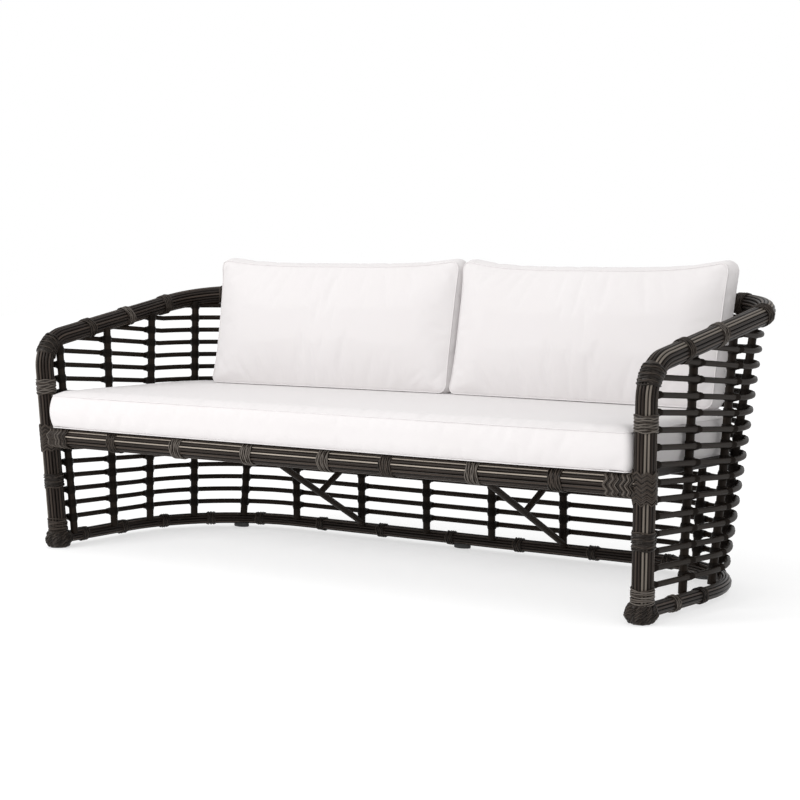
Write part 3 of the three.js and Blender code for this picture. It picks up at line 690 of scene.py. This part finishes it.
frontRail = {
    "radius": sofa["frontRailRadius"], "turn": math.radians(7.4), "seed": 2.0, "meander": 0.0008,
    "pattern": "cdcbdbdbdbdbdbdbd", "bindingLength": 0.035, "bindingSeeds": (0.9, 1.1),
    "bindingX": (-0.681, -0.439, -0.195, 0.059, 0.255, 0.503, 0.730),
    "shades": ("brown", "grey", "grey", "grey", "brown", "grey", "brown"),
    # the most that a binding's turns lean, and how fast that changes from one to the next
    "slant": 0.003, "slantPace": 2.1,
}
frontLine = poleLine(frontRailPath(), (0, -1, 0))
polePiece("frontRailCane", frontLine, frontRail, "creamCane", "seat_front_rail_wrap")
parts = []
seed, seedStep = frontRail["bindingSeeds"]
for i, x in enumerate(frontRail["bindingX"]):
    middle = frontLine["lengths"][-1] / 2 - x
    style = {**plainStyle, "seed": seed + seedStep * i, "shades": cordShades[frontRail["shades"][i]],
             "slant": frontRail["slant"] * math.sin(i * frontRail["slantPace"])}
    parts += binding(frontLine, middle, frontRail["bindingLength"], frontRail["radius"], style)
makePiece("frontRailBindings", parts, cordFinishes)
print("front rail made")

junction = {
    "postLength": 0.072, "postDrop": 0.003, "railReach": 0.074, "railStart": 0.004, "seed": 0.6,
    "postShades": (0, 0, 1), "railShades": (0, 1, 0, 2),
    "style": {"pitch": 0.0036, "waves": 7, "swing": 0.0048, "lift": 0.0006, "zigzag": True,
              "cordRadius": 0.0017, "rise": 0.0020, "stray": 0.0022, "steps": 112},
}
parts = []
for side in (1, -1):
    style = {**plainStyle, **junction["style"], "seed": junction["seed"] + side}
    middle = lengthWhere(topLine, 2, sofa["frontRailZ"] - junction["postDrop"])
    parts += binding(topLine, onSide(topLine, middle, side), junction["postLength"], sofa["poleRadius"],
                     {**style, "shades": junction["postShades"]})
    middle = junction["railReach"] / 2 + junction["railStart"]
    parts += binding(frontLine, onSide(frontLine, middle, side), junction["railReach"],
                     sofa["frontRailRadius"], {**style, "shades": junction["railShades"]})
makePiece("junctionWraps", parts, cordFinishes)
print("junction wraps made")

baseRail = {
    "radius": sofa["baseRailRadius"], "turn": 0.1, "seed": 3.0, "meander": 0.0006,
    "pattern": "dbddbddbddbd", "longest": 0.03, "bindingLength": 0.026, "bindingSeeds": (0.3, 0.8),
    "style": {"steps": 44, "pitch": 0.0037},
    # from the middle of the back, the left end's side positive
    "bindingPlaces": (1.361, 1.195, 1.031, 0.882, 0.728, 0.504, 0.280, 0.036, -0.192, -0.429, -0.660, -0.880,
                      -1.195, -1.323),
    "greyPast": -1.3,
}
baseLine = poleLine(densified(wallLine(sofa["baseRailZ"], 0.0), baseRail["longest"]), (1, 0, 0))
polePiece("baseRailCane", baseLine, baseRail, "paleCane", "base_rail_wrap")
parts = []
seed, seedStep = baseRail["bindingSeeds"]
for i, place in enumerate(baseRail["bindingPlaces"]):
    style = {**plainStyle, **baseRail["style"], "seed": seed + seedStep * i,
             "shades": cordShades["grey" if place < baseRail["greyPast"] else "dark"]}
    middle = baseLine["lengths"][-1] / 2 + place
    parts += binding(baseLine, middle, baseRail["bindingLength"], baseRail["radius"], style)
makePiece("baseRailBindings", parts, cordFinishes)
print("base rail made")


# feet


foot = {
    # heights and radii of the bulb, and how much fuller it is towards the middle of the sofa
    "profile": ((0.0, 0.0225), (0.005, 0.0280), (0.014, 0.0325), (0.026, 0.0345), (0.037, 0.0330),
                (0.046, 0.0275)),
    "inward": 0.09, "lumps": 0.0055, "lumpsRound": 1.9, "lumpsUp": 70,
    "coreHeights": (0.0, 0.0012, 0.004, 0.009, 0.015, 0.022, 0.029, 0.035, 0.040, 0.0435),
    "coreSides": 40, "soleShare": 0.96,
    "rings": 20, "lowestRing": 0.0055, "topRoom": 0.001, "floorRoom": 0.0003, "cordRadius": 0.0017,
    "waves": 8, "swing": 0.0042, "lift": 0.0022, "steps": 96, "ringPace": 3.3, "ringSeed": 4.0, "stray": 2.5,
    "neckRings": 12, "neckStart": 0.003, "neckPitch": 0.0031, "neckCord": 0.0015, "neckRise": 0.0018,
    "neckSteps": 60, "neckTurn": 1.3, "neckSlant": 0.0022, "neckSlantPace": 2.7,
    "neckWave": {"waves": 2, "zigzag": False, "swing": 0.0012, "lift": 0.0003},
}


def bulbRadius(z, angle, side):
    # the wrapped bulb, a little lumpy and fuller towards the middle of the sofa
    heights, radii = zip(*foot["profile"])
    lump = noise.noise(Vector((math.cos(angle) * foot["lumpsRound"], math.sin(angle) * foot["lumpsRound"],
                               z * foot["lumpsUp"] + side)))
    fuller = 1 - foot["inward"] * side * math.cos(angle)
    return float(np.interp(z, heights, radii)) * fuller + foot["lumps"] * lump


def bulbCore(centre, heights, side):
    # what shows between the cords
    angles = np.arange(foot["coreSides"]) * math.pi / (foot["coreSides"] / 2)
    rings = []
    for z in heights:
        share = foot["soleShare"] if z == 0 else 1
        radii = [bulbRadius(z, angle, side) for angle in angles]
        rings.append([(radius * math.cos(angle) * share, radius * math.sin(angle) * share)
                      for radius, angle in zip(radii, angles)])
    line = poleLine([np.array([*centre, z]) for z in heights], (1, 0, 0))
    return sweep(line, rings, np.full(foot["coreSides"], 1))


def bulbCord(centre, top, side, i):
    # one turn of cord on the bulb, which waves up and down over its neighbours
    angles = np.arange(foot["steps"]) * 2 * math.pi / foot["steps"]
    z = lerp(foot["lowestRing"], top - foot["topRoom"], i / (foot["rings"] - 1))
    chance = noise.noise(Vector((i * foot["ringPace"], side, foot["ringSeed"])))
    wave = foot["waves"] * angles + (math.pi * (i % 2) + side + chance * foot["stray"])
    heights = np.clip(z + foot["swing"] * np.sin(wave), foot["cordRadius"] + foot["floorRoom"], top)
    radii = np.array([bulbRadius(height, angle, side) for height, angle in zip(heights, angles)])
    radii = radii + foot["lift"] * np.cos(wave)
    x, y = centre[0] + radii * np.cos(angles), centre[1] + radii * np.sin(angles)
    outward = np.stack([np.cos(angles), np.sin(angles), np.zeros(len(angles))], axis=-1)
    # every fourth turn is brown, the others dark
    slot = 0 if i % 4 == 1 else 1
    return closedTube(np.stack([x, y, heights], axis=-1), outward, foot["cordRadius"], cordSides, slot)


def neckCord(top, side, i):
    # one turn of cord on the post just over its foot
    place = onSide(topLine, lengthWhere(topLine, 2, top + foot["neckStart"] + i * foot["neckPitch"]), side)
    wave = {**foot["neckWave"], "phase": foot["neckTurn"] * i, "slantAt": i,
            "slant": foot["neckSlant"] * math.sin(i * foot["neckSlantPace"])}
    reach = sofa["poleRadius"] + foot["neckRise"]
    points, outward = ringPlaces(topLine, place, reach, wave, foot["neckSteps"])
    # every fourth turn is brown; the others are grey on the right, brown and dark in turn on the left
    slot = 0 if i % 4 == 3 else 2 if side > 0 else i % 2
    return closedTube(points, outward, foot["neckCord"], cordSides, slot)


for name, side in (("right", 1), ("left", -1)):
    low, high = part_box(f"foot_{name}")
    centre = ((low[0] + high[0]) / 2, (low[1] + high[1]) / 2)
    parts = [bulbCore(centre, (*foot["coreHeights"], high[2]), side)]
    parts += [bulbCord(centre, high[2], side, i) for i in range(foot["rings"])]
    parts += [neckCord(high[2], side, i) for i in range(foot["neckRings"])]
    makePiece(f"foot{name.capitalize()}", parts, cordFinishes, instead=[f"foot_{name}"])
print("feet made")


# rods, uprights and their lashings


def armHeight(depth):
    front = postDepth(sofa["armFrontZ"])
    share = (depth - front) / (sofa["topBackDepth"] - front)
    return sofa["armFrontZ"] + (sofa["topRailZ"] - sofa["armFrontZ"]) * min(share, 1)


# places of the uprights on the right: depths at the floor and at the top, and widths at the back
uprightPlaces = {
    "side": [(0.061, 0.028), (0.227, 0.230), (0.380, 0.428), (0.523, 0.606)],
    "back": [0.111, 0.343, 0.588, 0.772],
}


def uprightAt(kind, index, z):
    plan = wallPlan(z)
    if kind == "back":
        return planAtWidth(plan, uprightPlaces["back"][index])
    return planAtDepth(plan, lerp(*uprightPlaces["side"][index], heightShare(z)))


def uprightTop(kind, index):
    depth = sofa["topBackDepth"] if kind == "back" else uprightPlaces["side"][index][1]
    return armHeight(depth) - sofa["poleRadius"] * sofa["endShare"]


def rodSidePoint(backZ, share):
    # on the straight side a rod rises towards the post; share is the way from the post to the corner
    z = backZ * (1 + sofa["rodRise"] * (1 - share))
    plan = wallPlan(z)
    x, depth = lerp(plan["front"], plan["arcStart"], share)
    return np.array([x, depth + postAxisY, z])


def rodHidden(z):
    # the depth up to which a rod's end is inside the post or the arm
    start = float(alongLine(topLine, [lengthWhere(topLine, 2, z)], "points")[0][1]) - postAxisY
    return max(postDepth(z) + sofa["poleRadius"] * sofa["endShare"], start)


rod = {"sides": 14, "sidePoints": 8, "halvings": 24}
upright = {"sides": 16, "stations": 24}


def rodPath(backZ):
    # starts where the rod comes out of the post or the arm, which is found by halving
    corner = wallPlan(backZ)["arcStart"][1]
    if rodHidden(backZ) > corner:
        return wallLine(backZ, rodHidden(backZ))
    before, after = 0.0, 1.0
    for _ in range(rod["halvings"]):
        share = (before + after) / 2
        point = rodSidePoint(backZ, share)
        clear = point[2] < sofa["topRailZ"] and point[1] - postAxisY > rodHidden(point[2])
        before, after = (before, share) if clear else (share, after)
    right = [rodSidePoint(backZ, lerp(after, 1, k / rod["sidePoints"])) for k in range(rod["sidePoints"])]
    return right + wallLine(backZ, corner)[1:-1] + mirrored(right)[::-1]


def thinPiece(name, parts, node):
    makePiece(name, parts, [finishes["thinCane"]], instead=[node],
              sharp=sharpEdges["rod"])


rodHeights = [lerp(sofa["lowestRodZ"], sofa["topRailZ"] - sofa["highestRodDrop"], i / (sofa["rodCount"] - 1))
              for i in range(sofa["rodCount"])]
for i, z in enumerate(rodHeights):
    line = poleLine(rodPath(z), (1, 0, 0))
    thinPiece(f"rod{i + 1:02d}", [sweep(line, circle(sofa["rodRadius"], rod["sides"]))], f"rod_{i + 1:02d}")
print("rods made")

for kind in ("side", "back"):
    for index in range(len(uprightPlaces[kind])):
        bottom = sofa["baseRailZ"] + sofa["baseRailRadius"] * sofa["endShare"]
        heights = np.linspace(bottom, uprightTop(kind, index), upright["stations"])
        right = [raised(uprightAt(kind, index, z), z, uprightInset) for z in heights]
        for name, points in (("right", right), ("left", mirrored(right))):
            line = poleLine(points, (0, 1, 0) if kind == "back" else (1, 0, 0))
            thinPiece(f"{kind}Upright{index + 1}{name.capitalize()}",
                      [sweep(line, circle(sofa["uprightRadius"], upright["sides"]))],
                      f"{kind}_upright_{index + 1}_{name}")
print("uprights made")

lashing = {
    # half length, how much the turns add, how far they reach to the other pole, and how far they stretch
    "rod": {"half": 0.0122, "swell": 0.0019, "reach": -0.0050, "stretch": 0.45},
    "upright": {"half": 0.0118, "swell": 0.0030, "reach": 0.0035, "stretch": 0.25},
    "turns": 7, "ridge": 0.0007, "ridgeFrom": 0.05, "stations": 29, "sides": 10, "fall": 2.5, "room": 0.0003,
    # the first two: the lit share of a lashing and how far it swings with the turns, which paints shade
    # between them
    "litShare": 0.6, "litShareSwing": 0.4, "topRoom": 0.006, "heightPasses": 4,
}


def lashingSleeve(centre, along, reference, radius, wrap):
    # turns of thin cane round a pole, fullest where the poles cross and reaching over to the other one
    places = np.linspace(-1, 1, lashing["stations"])
    fullness = 1 - np.abs(places) ** lashing["fall"]
    waves = np.cos(places * math.pi * lashing["turns"])
    ridges = lashing["ridge"] * waves * (fullness > lashing["ridgeFrom"])
    radii = radius + lashing["room"] + wrap["swell"] * fullness + ridges
    lengths = places * wrap["half"]
    points = centre + along * lengths[:, None] + reference * (wrap["reach"] * fullness)[:, None]
    line = {"points": points, "lengths": lengths, "sides": np.broadcast_to(reference, points.shape),
            "others": np.broadcast_to(np.cross(along, reference), points.shape)}
    rings = np.stack([circle(value, lashing["sides"]) for value in radii])
    rings[..., 0] *= 1 + wrap["stretch"] * fullness[:, None]
    # painted shade between the turns, where the ridges dip
    return sweep(line, rings, litShare=(lashing["litShare"] + lashing["litShareSwing"] * waves)[:, None])


def rodHeightAt(kind, index, backZ):
    # a rod's height where it passes an upright, found step by step, as both lean; level along the back
    z = backZ
    for _ in range(lashing["heightPasses"] if kind == "side" else 0):
        share = uprightAt(kind, index, z)[0][1] / wallPlan(z)["arcStart"][1]
        z = backZ * (1 + sofa["rodRise"] * (1 - min(share, 1)))
    return z


def crossing(kind, index, z, side):
    (x, depth), outward, _ = uprightAt(kind, index, z)
    outward = unit(np.array([side * outward[0], outward[1], 0.0]))
    centre = np.array([side * x, depth + postAxisY, z])
    return [
        lashingSleeve(centre, np.array([-outward[1], outward[0], 0.0]), outward, sofa["rodRadius"],
                      lashing["rod"]),
        lashingSleeve(centre - outward * uprightInset, np.array([0.0, 0.0, 1.0]), outward,
                      sofa["uprightRadius"], lashing["upright"]),
    ]


parts = []
for kind in ("side", "back"):
    for index in range(len(uprightPlaces[kind])):
        for backZ in rodHeights:
            z = rodHeightAt(kind, index, backZ)
            if z <= uprightTop(kind, index) - lashing["topRoom"]:
                parts += crossing(kind, index, z, 1) + crossing(kind, index, z, -1)
makePiece("crossingLashings", parts, [finishes["thinCane"]])
print("lashings made:", len(parts))


# braces, glides, deck


brace = {"radius": 0.009, "sides": 14, "steps": 12, "upright": 1, "headDepth": 0.140, "headDrop": 0.002,
         "footZ": 0.046, "forkShare": 0.62, "forkZ": 0.262}


def braceTube(a, b):
    line = poleLine([lerp(a, b, k / brace["steps"]) for k in range(brace["steps"] + 1)], (1, 0, 0))
    return sweep(line, circle(brace["radius"], brace["sides"]))


def onUpright(x, z):
    # where a brace meets the upright behind it
    place = raised(uprightAt("back", brace["upright"], z), z, uprightInset)
    return np.array([x, place[1], z])


for name, side in (("right", 1), ("left", -1)):
    x = side * uprightPlaces["back"][brace["upright"]]
    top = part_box(f"brace_long_{name}")[1][2]
    head = np.array([x, brace["headDepth"] + postAxisY, top - brace["headDrop"]])
    heel = onUpright(x, brace["footZ"])
    thinPiece(f"braceLong{name.capitalize()}", [braceTube(head, heel)], f"brace_long_{name}")
    fork = lerp(head, heel, brace["forkShare"])
    thinPiece(f"braceShort{name.capitalize()}", [braceTube(fork, onUpright(x, brace["forkZ"]))],
              f"brace_short_{name}")

# heights of a glide and its widths there as shares; heights over the last two are counted from its top
pad = {"sides": 40, "levels": ((0.0, 0.90), (0.0015, 0.985), (0.004, 1.0)),
       "topLevels": ((-0.001, 0.96), (0, 0.88))}
for name in ("left", "middle", "right"):
    low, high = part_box(f"glide_{name}")
    centre = [(a + b) / 2 for a, b in zip(low, high)]
    half = ((high[0] - low[0]) / 2, (high[1] - low[1]) / 2)
    angles = np.arange(pad["sides"]) * math.pi / (pad["sides"] / 2)
    outline = np.array([(half[0] * math.cos(angle), half[1] * math.sin(angle)) for angle in angles])
    levels = [*pad["levels"], *((high[2] + z, share) for z, share in pad["topLevels"])]
    line = poleLine([np.array([centre[0], centre[1], z]) for z, _ in levels], (1, 0, 0))
    rings = np.stack([outline * share for _, share in levels])
    makePiece(f"glide{name.capitalize()}", [sweep(line, rings)], [finishes["glide"]],
              instead=[f"glide_{name}"], sharp=sharpEdges["pad"])

# the deck and the tubes stay the frame's own solids, in a better finish
for node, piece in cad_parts.items():
    coat = None
    if node.startswith("seat_bar") or node == "seat_back_rail":
        coat = finishes["darkCoat"]
    elif node.endswith("_tube"):
        coat = finishes["bareTube"]
    if coat:
        piece.data.materials.clear()
        piece.data.materials.append(coat)
print("braces, glides and deck made")


# cushions


clothLook = {
    # pale and the slightly darker tone are mixed by a soft noise, a tone that differs at random over the
    # cover
    "pale": (0.665, 0.642, 0.643), "darkerTone": (0.635, 0.610, 0.608), "threadsPerMetre": 650,
    "mottleScale": 4.0, "bump": 0.35, "bumpDepth": 0.0003, "roughness": 0.9, "sheen": 0.15,
    "sheenRoughness": 0.5,
}
whiteCloth = clothMaterial("whiteCloth", clothLook)
pipingSides = 8
# powers that say how close to its edges a cushion's shape changes
cushionForm = {"draw": 3, "drawAcross": 4, "ear": 3, "earUp": 2, "edge": 2, "crown": 3, "aside": 12}


def cushionPlace(u, v, shape):
    # a place on a cushion's panel: edges drawn in between round corners, and upper corners that stick
    # out; draw says how far for the left, right, front or lower, and rear or upper edge
    halfX, halfY = shape["halfX"], shape["halfY"]
    x, y = u * halfX, v * halfY
    radius = shape["corners"][(0 if v < 0 else 2) + (0 if u < 0 else 1)]
    overX, overY = abs(x) - (halfX - radius), abs(y) - (halfY - radius)
    if overX > 0 and overY > 0:
        a, b = overX / radius, overY / radius
        x = math.copysign(halfX - radius + radius * a * math.sqrt(1 - b * b / 2), x)
        y = math.copysign(halfY - radius + radius * b * math.sqrt(1 - a * a / 2), y)
    along, across = cushionForm["draw"], cushionForm["drawAcross"]
    drawX = shape["draw"][0 if u < 0 else 1] * (1 - v ** across) * abs(u) ** along
    drawY = shape["draw"][2 if v < 0 else 3] * (1 - u ** across) * abs(v) ** along
    ear = shape["ears"][0 if u < 0 else 1] * abs(u) ** cushionForm["ear"]
    ear *= max(0.0, (v + 1) / 2) ** cushionForm["earUp"]
    return x + (ear - drawX) * math.copysign(1, u), y - drawY * math.copysign(1, v)


def boxedCushion(name, shape, toWorld):
    # front panel, band and rear panel as one closed grid; the seams are vertex loops of it
    columns, rows, bands = shape["grid"]
    index = {}
    vertices = []

    def vertex(i, j, k):
        # k is 0 on the rear panel, bands on the front one, and only the rim has those between
        key = (i, j, k)
        if key not in index:
            u, v = 2 * i / columns - 1, 2 * j / rows - 1
            x, y = cushionPlace(u, v, shape)
            share = k / bands
            rim = max(abs(u), abs(v))
            inside = min(shape["halfX"] * (1 - abs(u)), shape["halfY"] * (1 - abs(v)))
            drop = shape["edge"] * max(0.0, 1 - inside / shape["edgeWidth"]) ** cushionForm["edge"]
            crown = shape["crown"] * (1 - rim ** cushionForm["crown"])
            z = lerp(-shape["half"] - crown * shape["rearShare"] + drop * shape["rearEdge"],
                     shape["half"] + crown - drop, share)
            if 0 < k < bands:
                power = cushionForm["aside"]
                aside = unit([math.copysign(abs(u) ** power, u), math.copysign(abs(v) ** power, v)])
                x += aside[0] * shape["puff"] * math.sin(math.pi * share)
                y += aside[1] * shape["puff"] * math.sin(math.pi * share)
            index[key] = len(vertices)
            vertices.append((x, y, z))
        return index[key]

    faces = []
    for i in range(columns):
        for j in range(rows):
            faces.append([vertex(i, j, bands), vertex(i + 1, j, bands), vertex(i + 1, j + 1, bands),
                          vertex(i, j + 1, bands)])
            faces.append([vertex(i, j, 0), vertex(i, j + 1, 0), vertex(i + 1, j + 1, 0), vertex(i + 1, j, 0)])
    rim = ([(i, 0) for i in range(columns)] + [(columns, j) for j in range(rows)]
           + [(i, rows) for i in range(columns, 0, -1)] + [(0, j) for j in range(rows, 0, -1)])
    for (i, j), (m, n) in zip(rim, rim[1:] + rim[:1]):
        for k in range(bands):
            faces.append([vertex(i, j, k), vertex(m, n, k), vertex(m, n, k + 1), vertex(i, j, k + 1)])
    mesh = bpy.data.meshes.new(name)
    mesh.from_pydata([toWorld @ Vector(place) for place in vertices], [], faces)
    mesh.update()
    piece = bpy.data.objects.new(name, mesh)
    bpy.context.collection.objects.link(piece)
    seams = [[index[(i, j, k)] for i, j in rim] for k in (0, bands)]
    return piece, seams


clothRun = {"quality": 6, "mass": 0.25, "shearShare": 0.4, "pinStiffness": 1.0, "frames": 20}


def inflate(piece, seams, settings):
    # cloth under pressure; the seams hold their line and the fabric between them is cut a little full
    held = piece.vertex_groups.new(name="held")
    held.add([i for seam in seams for i in seam], settings["seamHold"], "REPLACE")
    before = np.array([vertex.co for vertex in piece.data.vertices])
    cloth = piece.modifiers.new("cloth", "CLOTH")
    cloth.settings.quality = clothRun["quality"]
    cloth.settings.mass = clothRun["mass"]
    cloth.settings.tension_stiffness = settings["tension"]
    cloth.settings.compression_stiffness = settings["tension"]
    cloth.settings.shear_stiffness = settings["tension"] * clothRun["shearShare"]
    cloth.settings.bending_stiffness = settings["bending"]
    cloth.settings.use_pressure = True
    cloth.settings.uniform_pressure_force = settings["pressure"]
    cloth.settings.shrink_min = -settings["full"]
    cloth.settings.vertex_group_mass = "held"
    cloth.settings.pin_stiffness = clothRun["pinStiffness"]
    cloth.settings.effector_weights.gravity = 0
    cloth.collision_settings.use_collision = False
    scene = bpy.context.scene
    cloth.point_cache.frame_start = 1
    cloth.point_cache.frame_end = clothRun["frames"]
    for number in range(1, clothRun["frames"] + 1):
        scene.frame_set(number)
    shaped = piece.evaluated_get(bpy.context.evaluated_depsgraph_get()).to_mesh()
    after = np.array([vertex.co for vertex in shaped.vertices])
    piece.modifiers.remove(cloth)
    scene.frame_set(1)
    move = after - before
    length = np.linalg.norm(move, axis=1, keepdims=True)
    capped = move * np.minimum(1, settings["cap"] / np.maximum(length, 1e-9))
    piece.data.vertices.foreach_set("co", (before + capped).reshape(-1))
    piece.data.update()
    print(f"  {piece.name}: largest move {length.max() * 1000:.1f} mm, mean {length.mean() * 1000:.1f} mm")


def finishCushion(piece, seams, settings, node, limits):
    # keep it off its neighbours, then piping along the seams and one subdivision
    places = np.array([vertex.co for vertex in piece.data.vertices])
    for axis, low, high in limits:
        places[:, axis] = np.clip(places[:, axis], low, high)
    piece.data.vertices.foreach_set("co", places.reshape(-1))
    middle = places.mean(axis=0)
    parts = []
    for seam in seams:
        points = places[seam]
        outward = unit(points - middle)
        parts.append(closedTube(points + outward * settings["pipingRise"], outward, settings["piping"],
                                pipingSides))
    for polygon in piece.data.polygons:
        polygon.use_smooth = True
    piece.data.materials.append(whiteCloth)
    smooth = piece.modifiers.new("smooth", "SUBSURF")
    smooth.levels = smooth.render_levels = 1
    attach(piece, node)
    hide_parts(node)
    makePiece(piece.name + "Piping", parts, [whiteCloth], body=node)


seatCushion = {
    "half": 0.049, "frontBow": 0.012, "corners": (0.016, 0.016, 0.19, 0.19), "grid": (150, 52, 8),
    "crown": 0.008, "rearShare": 0.0, "edge": 0.009, "edgeWidth": 0.030, "rearEdge": 0.05, "puff": 0.009,
    "draw": (0.002, 0.002, -0.012, 0.0), "ears": (0.0, 0.0),
    "tension": 12, "bending": 0.3, "pressure": 2.5, "full": 0.015, "seamHold": 0.92, "cap": 0.010,
    "piping": 0.0016, "pipingRise": -0.0018, "fill": 0.9,
    # how far the filled cover may come out of its solid, and how near it may come to the posts
    "topRoom": 0.001, "frontRoom": 0.007, "halfWidthLimit": 0.9265,
}
low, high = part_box("seat_cushion")
shape = {**seatCushion, "halfX": (high[0] - low[0]) / 2,
         "halfY": (high[1] - low[1] - seatCushion["frontBow"]) / 2}
middleY = (low[1] + seatCushion["frontBow"] + high[1]) / 2
toWorld = Matrix.Translation((0, middleY, low[2] + seatCushion["half"]))
piece, seams = boxedCushion("seatCushion", shape, toWorld)
inflate(piece, seams, seatCushion)
finishCushion(piece, seams, seatCushion, "seat_cushion",
              [(2, low[2], high[2] + seatCushion["topRoom"]), (1, low[1] - seatCushion["frontRoom"], high[1]),
               (0, -seatCushion["halfWidthLimit"], seatCushion["halfWidthLimit"])])
print("seat cushion made")

backCushion = {
    "middleX": 0.052, "gap": 0.007, "width": 0.818, "height": 0.370, "half": 0.034, "seatDepth": 0.513,
    "lean": math.radians(11.8), "turn": math.radians(2.8),
    "corners": (0.024, 0.024, 0.034, 0.034), "grid": (84, 38, 8),
    "crown": 0.016, "rearShare": 0.75, "edge": 0.007, "edgeWidth": 0.045, "rearEdge": 1.0, "puff": 0.009,
    # how far its ends and its top are drawn in, and how far its upper corners stick out at the ends
    "ends": (0.009, 0.004), "dip": {"left": 0.020, "right": 0.026},
    "cornerOut": {"left": (0.016, 0.0), "right": (0.006, 0.002)},
    "tension": 10, "bending": 0.25, "pressure": 2.6, "full": 0.012, "seamHold": 0.9, "cap": 0.016,
    "piping": 0.0019, "pipingRise": -0.0007, "fill": 0.75,
    # how high over its solid's bottom its middle line starts, and how far the filled cover may come
    # out of the solid
    "startZ": 0.004, "bottomRoom": 0.001, "topRoom": 0.006, "frontRoom": 0.004,
}
sinLean, cosLean = math.sin(backCushion["lean"]), math.cos(backCushion["lean"])
sinTurn, cosTurn = math.sin(backCushion["turn"]), math.cos(backCushion["turn"])
leaning = Matrix(((1, 0, 0, 0), (0, sinLean, -1, 0), (0, cosLean, 0, 0), (0, 0, 0, 1)))
for name, side in (("left", -1), ("right", 1)):
    low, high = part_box(f"back_cushion_{name}")
    shape = {**backCushion, "halfX": backCushion["width"] / 2, "halfY": backCushion["height"] / 2,
             "draw": (*backCushion["ends"], 0.0, backCushion["dip"][name]),
             "ears": backCushion["cornerOut"][name]}
    outwardX = (backCushion["gap"] + backCushion["width"] * cosTurn) / 2
    behind = backCushion["half"] + backCushion["height"] / 2 * sinLean
    frontY = postAxisY + backCushion["seatDepth"]
    centre = (backCushion["middleX"] + side * (outwardX + behind * sinTurn),
              frontY - backCushion["width"] / 2 * sinTurn + behind * cosTurn,
              low[2] + backCushion["startZ"] + backCushion["height"] / 2 * cosLean)
    toWorld = Matrix.Translation(centre) @ Matrix.Rotation(-side * backCushion["turn"], 4, "Z") @ leaning
    piece, seams = boxedCushion(f"backCushion{name.capitalize()}", shape, toWorld)
    inflate(piece, seams, backCushion)
    finishCushion(piece, seams, backCushion, f"back_cushion_{name}",
                  [(2, low[2] - backCushion["bottomRoom"], high[2] + backCushion["topRoom"]),
                   (1, low[1] - backCushion["frontRoom"], high[1])])
print("back cushions made")


# floor, light and camera


studio = {
    "floorSize": 30.0, "floorColour": (0.45, 0.45, 0.45), "floorRoughness": 0.9, "floorGlow": 0.57,
    "worldStrength": 1.0, "aim": (0, 0, 0.4),
    "key": {"place": (-2.6, -4.4, 2.6), "size": 1.8, "power": 96},
    "fill": {"place": (0.5, -3.9, 2.3), "size": 1.4, "power": 26},
    "top": {"place": (-0.6, -0.6, 4.0), "size": 3.5, "power": 10},
}
far = studio["floorSize"] / 2
floorMesh = bpy.data.meshes.new("floor")
floorMesh.from_pydata([(-far, -far, 0), (far, -far, 0), (far, far, 0), (-far, far, 0)], [], [(0, 1, 2, 3)])
floor = bpy.data.objects.new("floor", floorMesh)
bpy.context.collection.objects.link(floor)
floorMaterial, _, _, shader = newMaterial("paleFloor")
shader.inputs["Base Color"].default_value = (*studio["floorColour"], 1)
shader.inputs["Roughness"].default_value = studio["floorRoughness"]
shader.inputs["Emission Color"].default_value = (1, 1, 1, 1)
shader.inputs["Emission Strength"].default_value = studio["floorGlow"]
floorMesh.materials.append(floorMaterial)

for name in ("key", "fill", "top"):
    light = bpy.data.lights.new(name, "AREA")
    light.shape = "DISK"
    light.size = studio[name]["size"]
    light.energy = studio[name]["power"]
    lamp = bpy.data.objects.new(name, light)
    lamp.location = studio[name]["place"]
    lamp.rotation_euler = (Vector(studio["aim"]) - lamp.location).to_track_quat("-Z", "Y").to_euler()
    bpy.context.collection.objects.link(lamp)

world = bpy.data.worlds.new("studio")
world.use_nodes = True
world.node_tree.nodes["Background"].inputs["Color"].default_value = (1, 1, 1, 1)
world.node_tree.nodes["Background"].inputs["Strength"].default_value = studio["worldStrength"]
bpy.context.scene.world = world
bpy.context.scene.view_settings.view_transform = "Standard"

# the view that the perspective of the posts, rails and rods gives
view = {"place": (2.9618, -4.0225, 0.8420), "azimuth": math.radians(36.037), "elevation": math.radians(4.575),
        "lens": 84.657, "sensor": 36.0}
cosAzimuth, sinAzimuth = math.cos(view["azimuth"]), math.sin(view["azimuth"])
cosElevation, sinElevation = math.cos(view["elevation"]), math.sin(view["elevation"])
back = Vector((sinAzimuth * cosElevation, -cosAzimuth * cosElevation, sinElevation))
right = Vector((cosAzimuth, sinAzimuth, 0))
above = back.cross(right)
cameraData = bpy.data.cameras.new("camera")
cameraData.lens = view["lens"]
cameraData.sensor_width = view["sensor"]
camera = bpy.data.objects.new("camera", cameraData)
camera.matrix_world = Matrix((right, above, back)).transposed().to_4x4()
camera.location = view["place"]
bpy.context.collection.objects.link(camera)
bpy.context.scene.camera = camera
print("studio made")
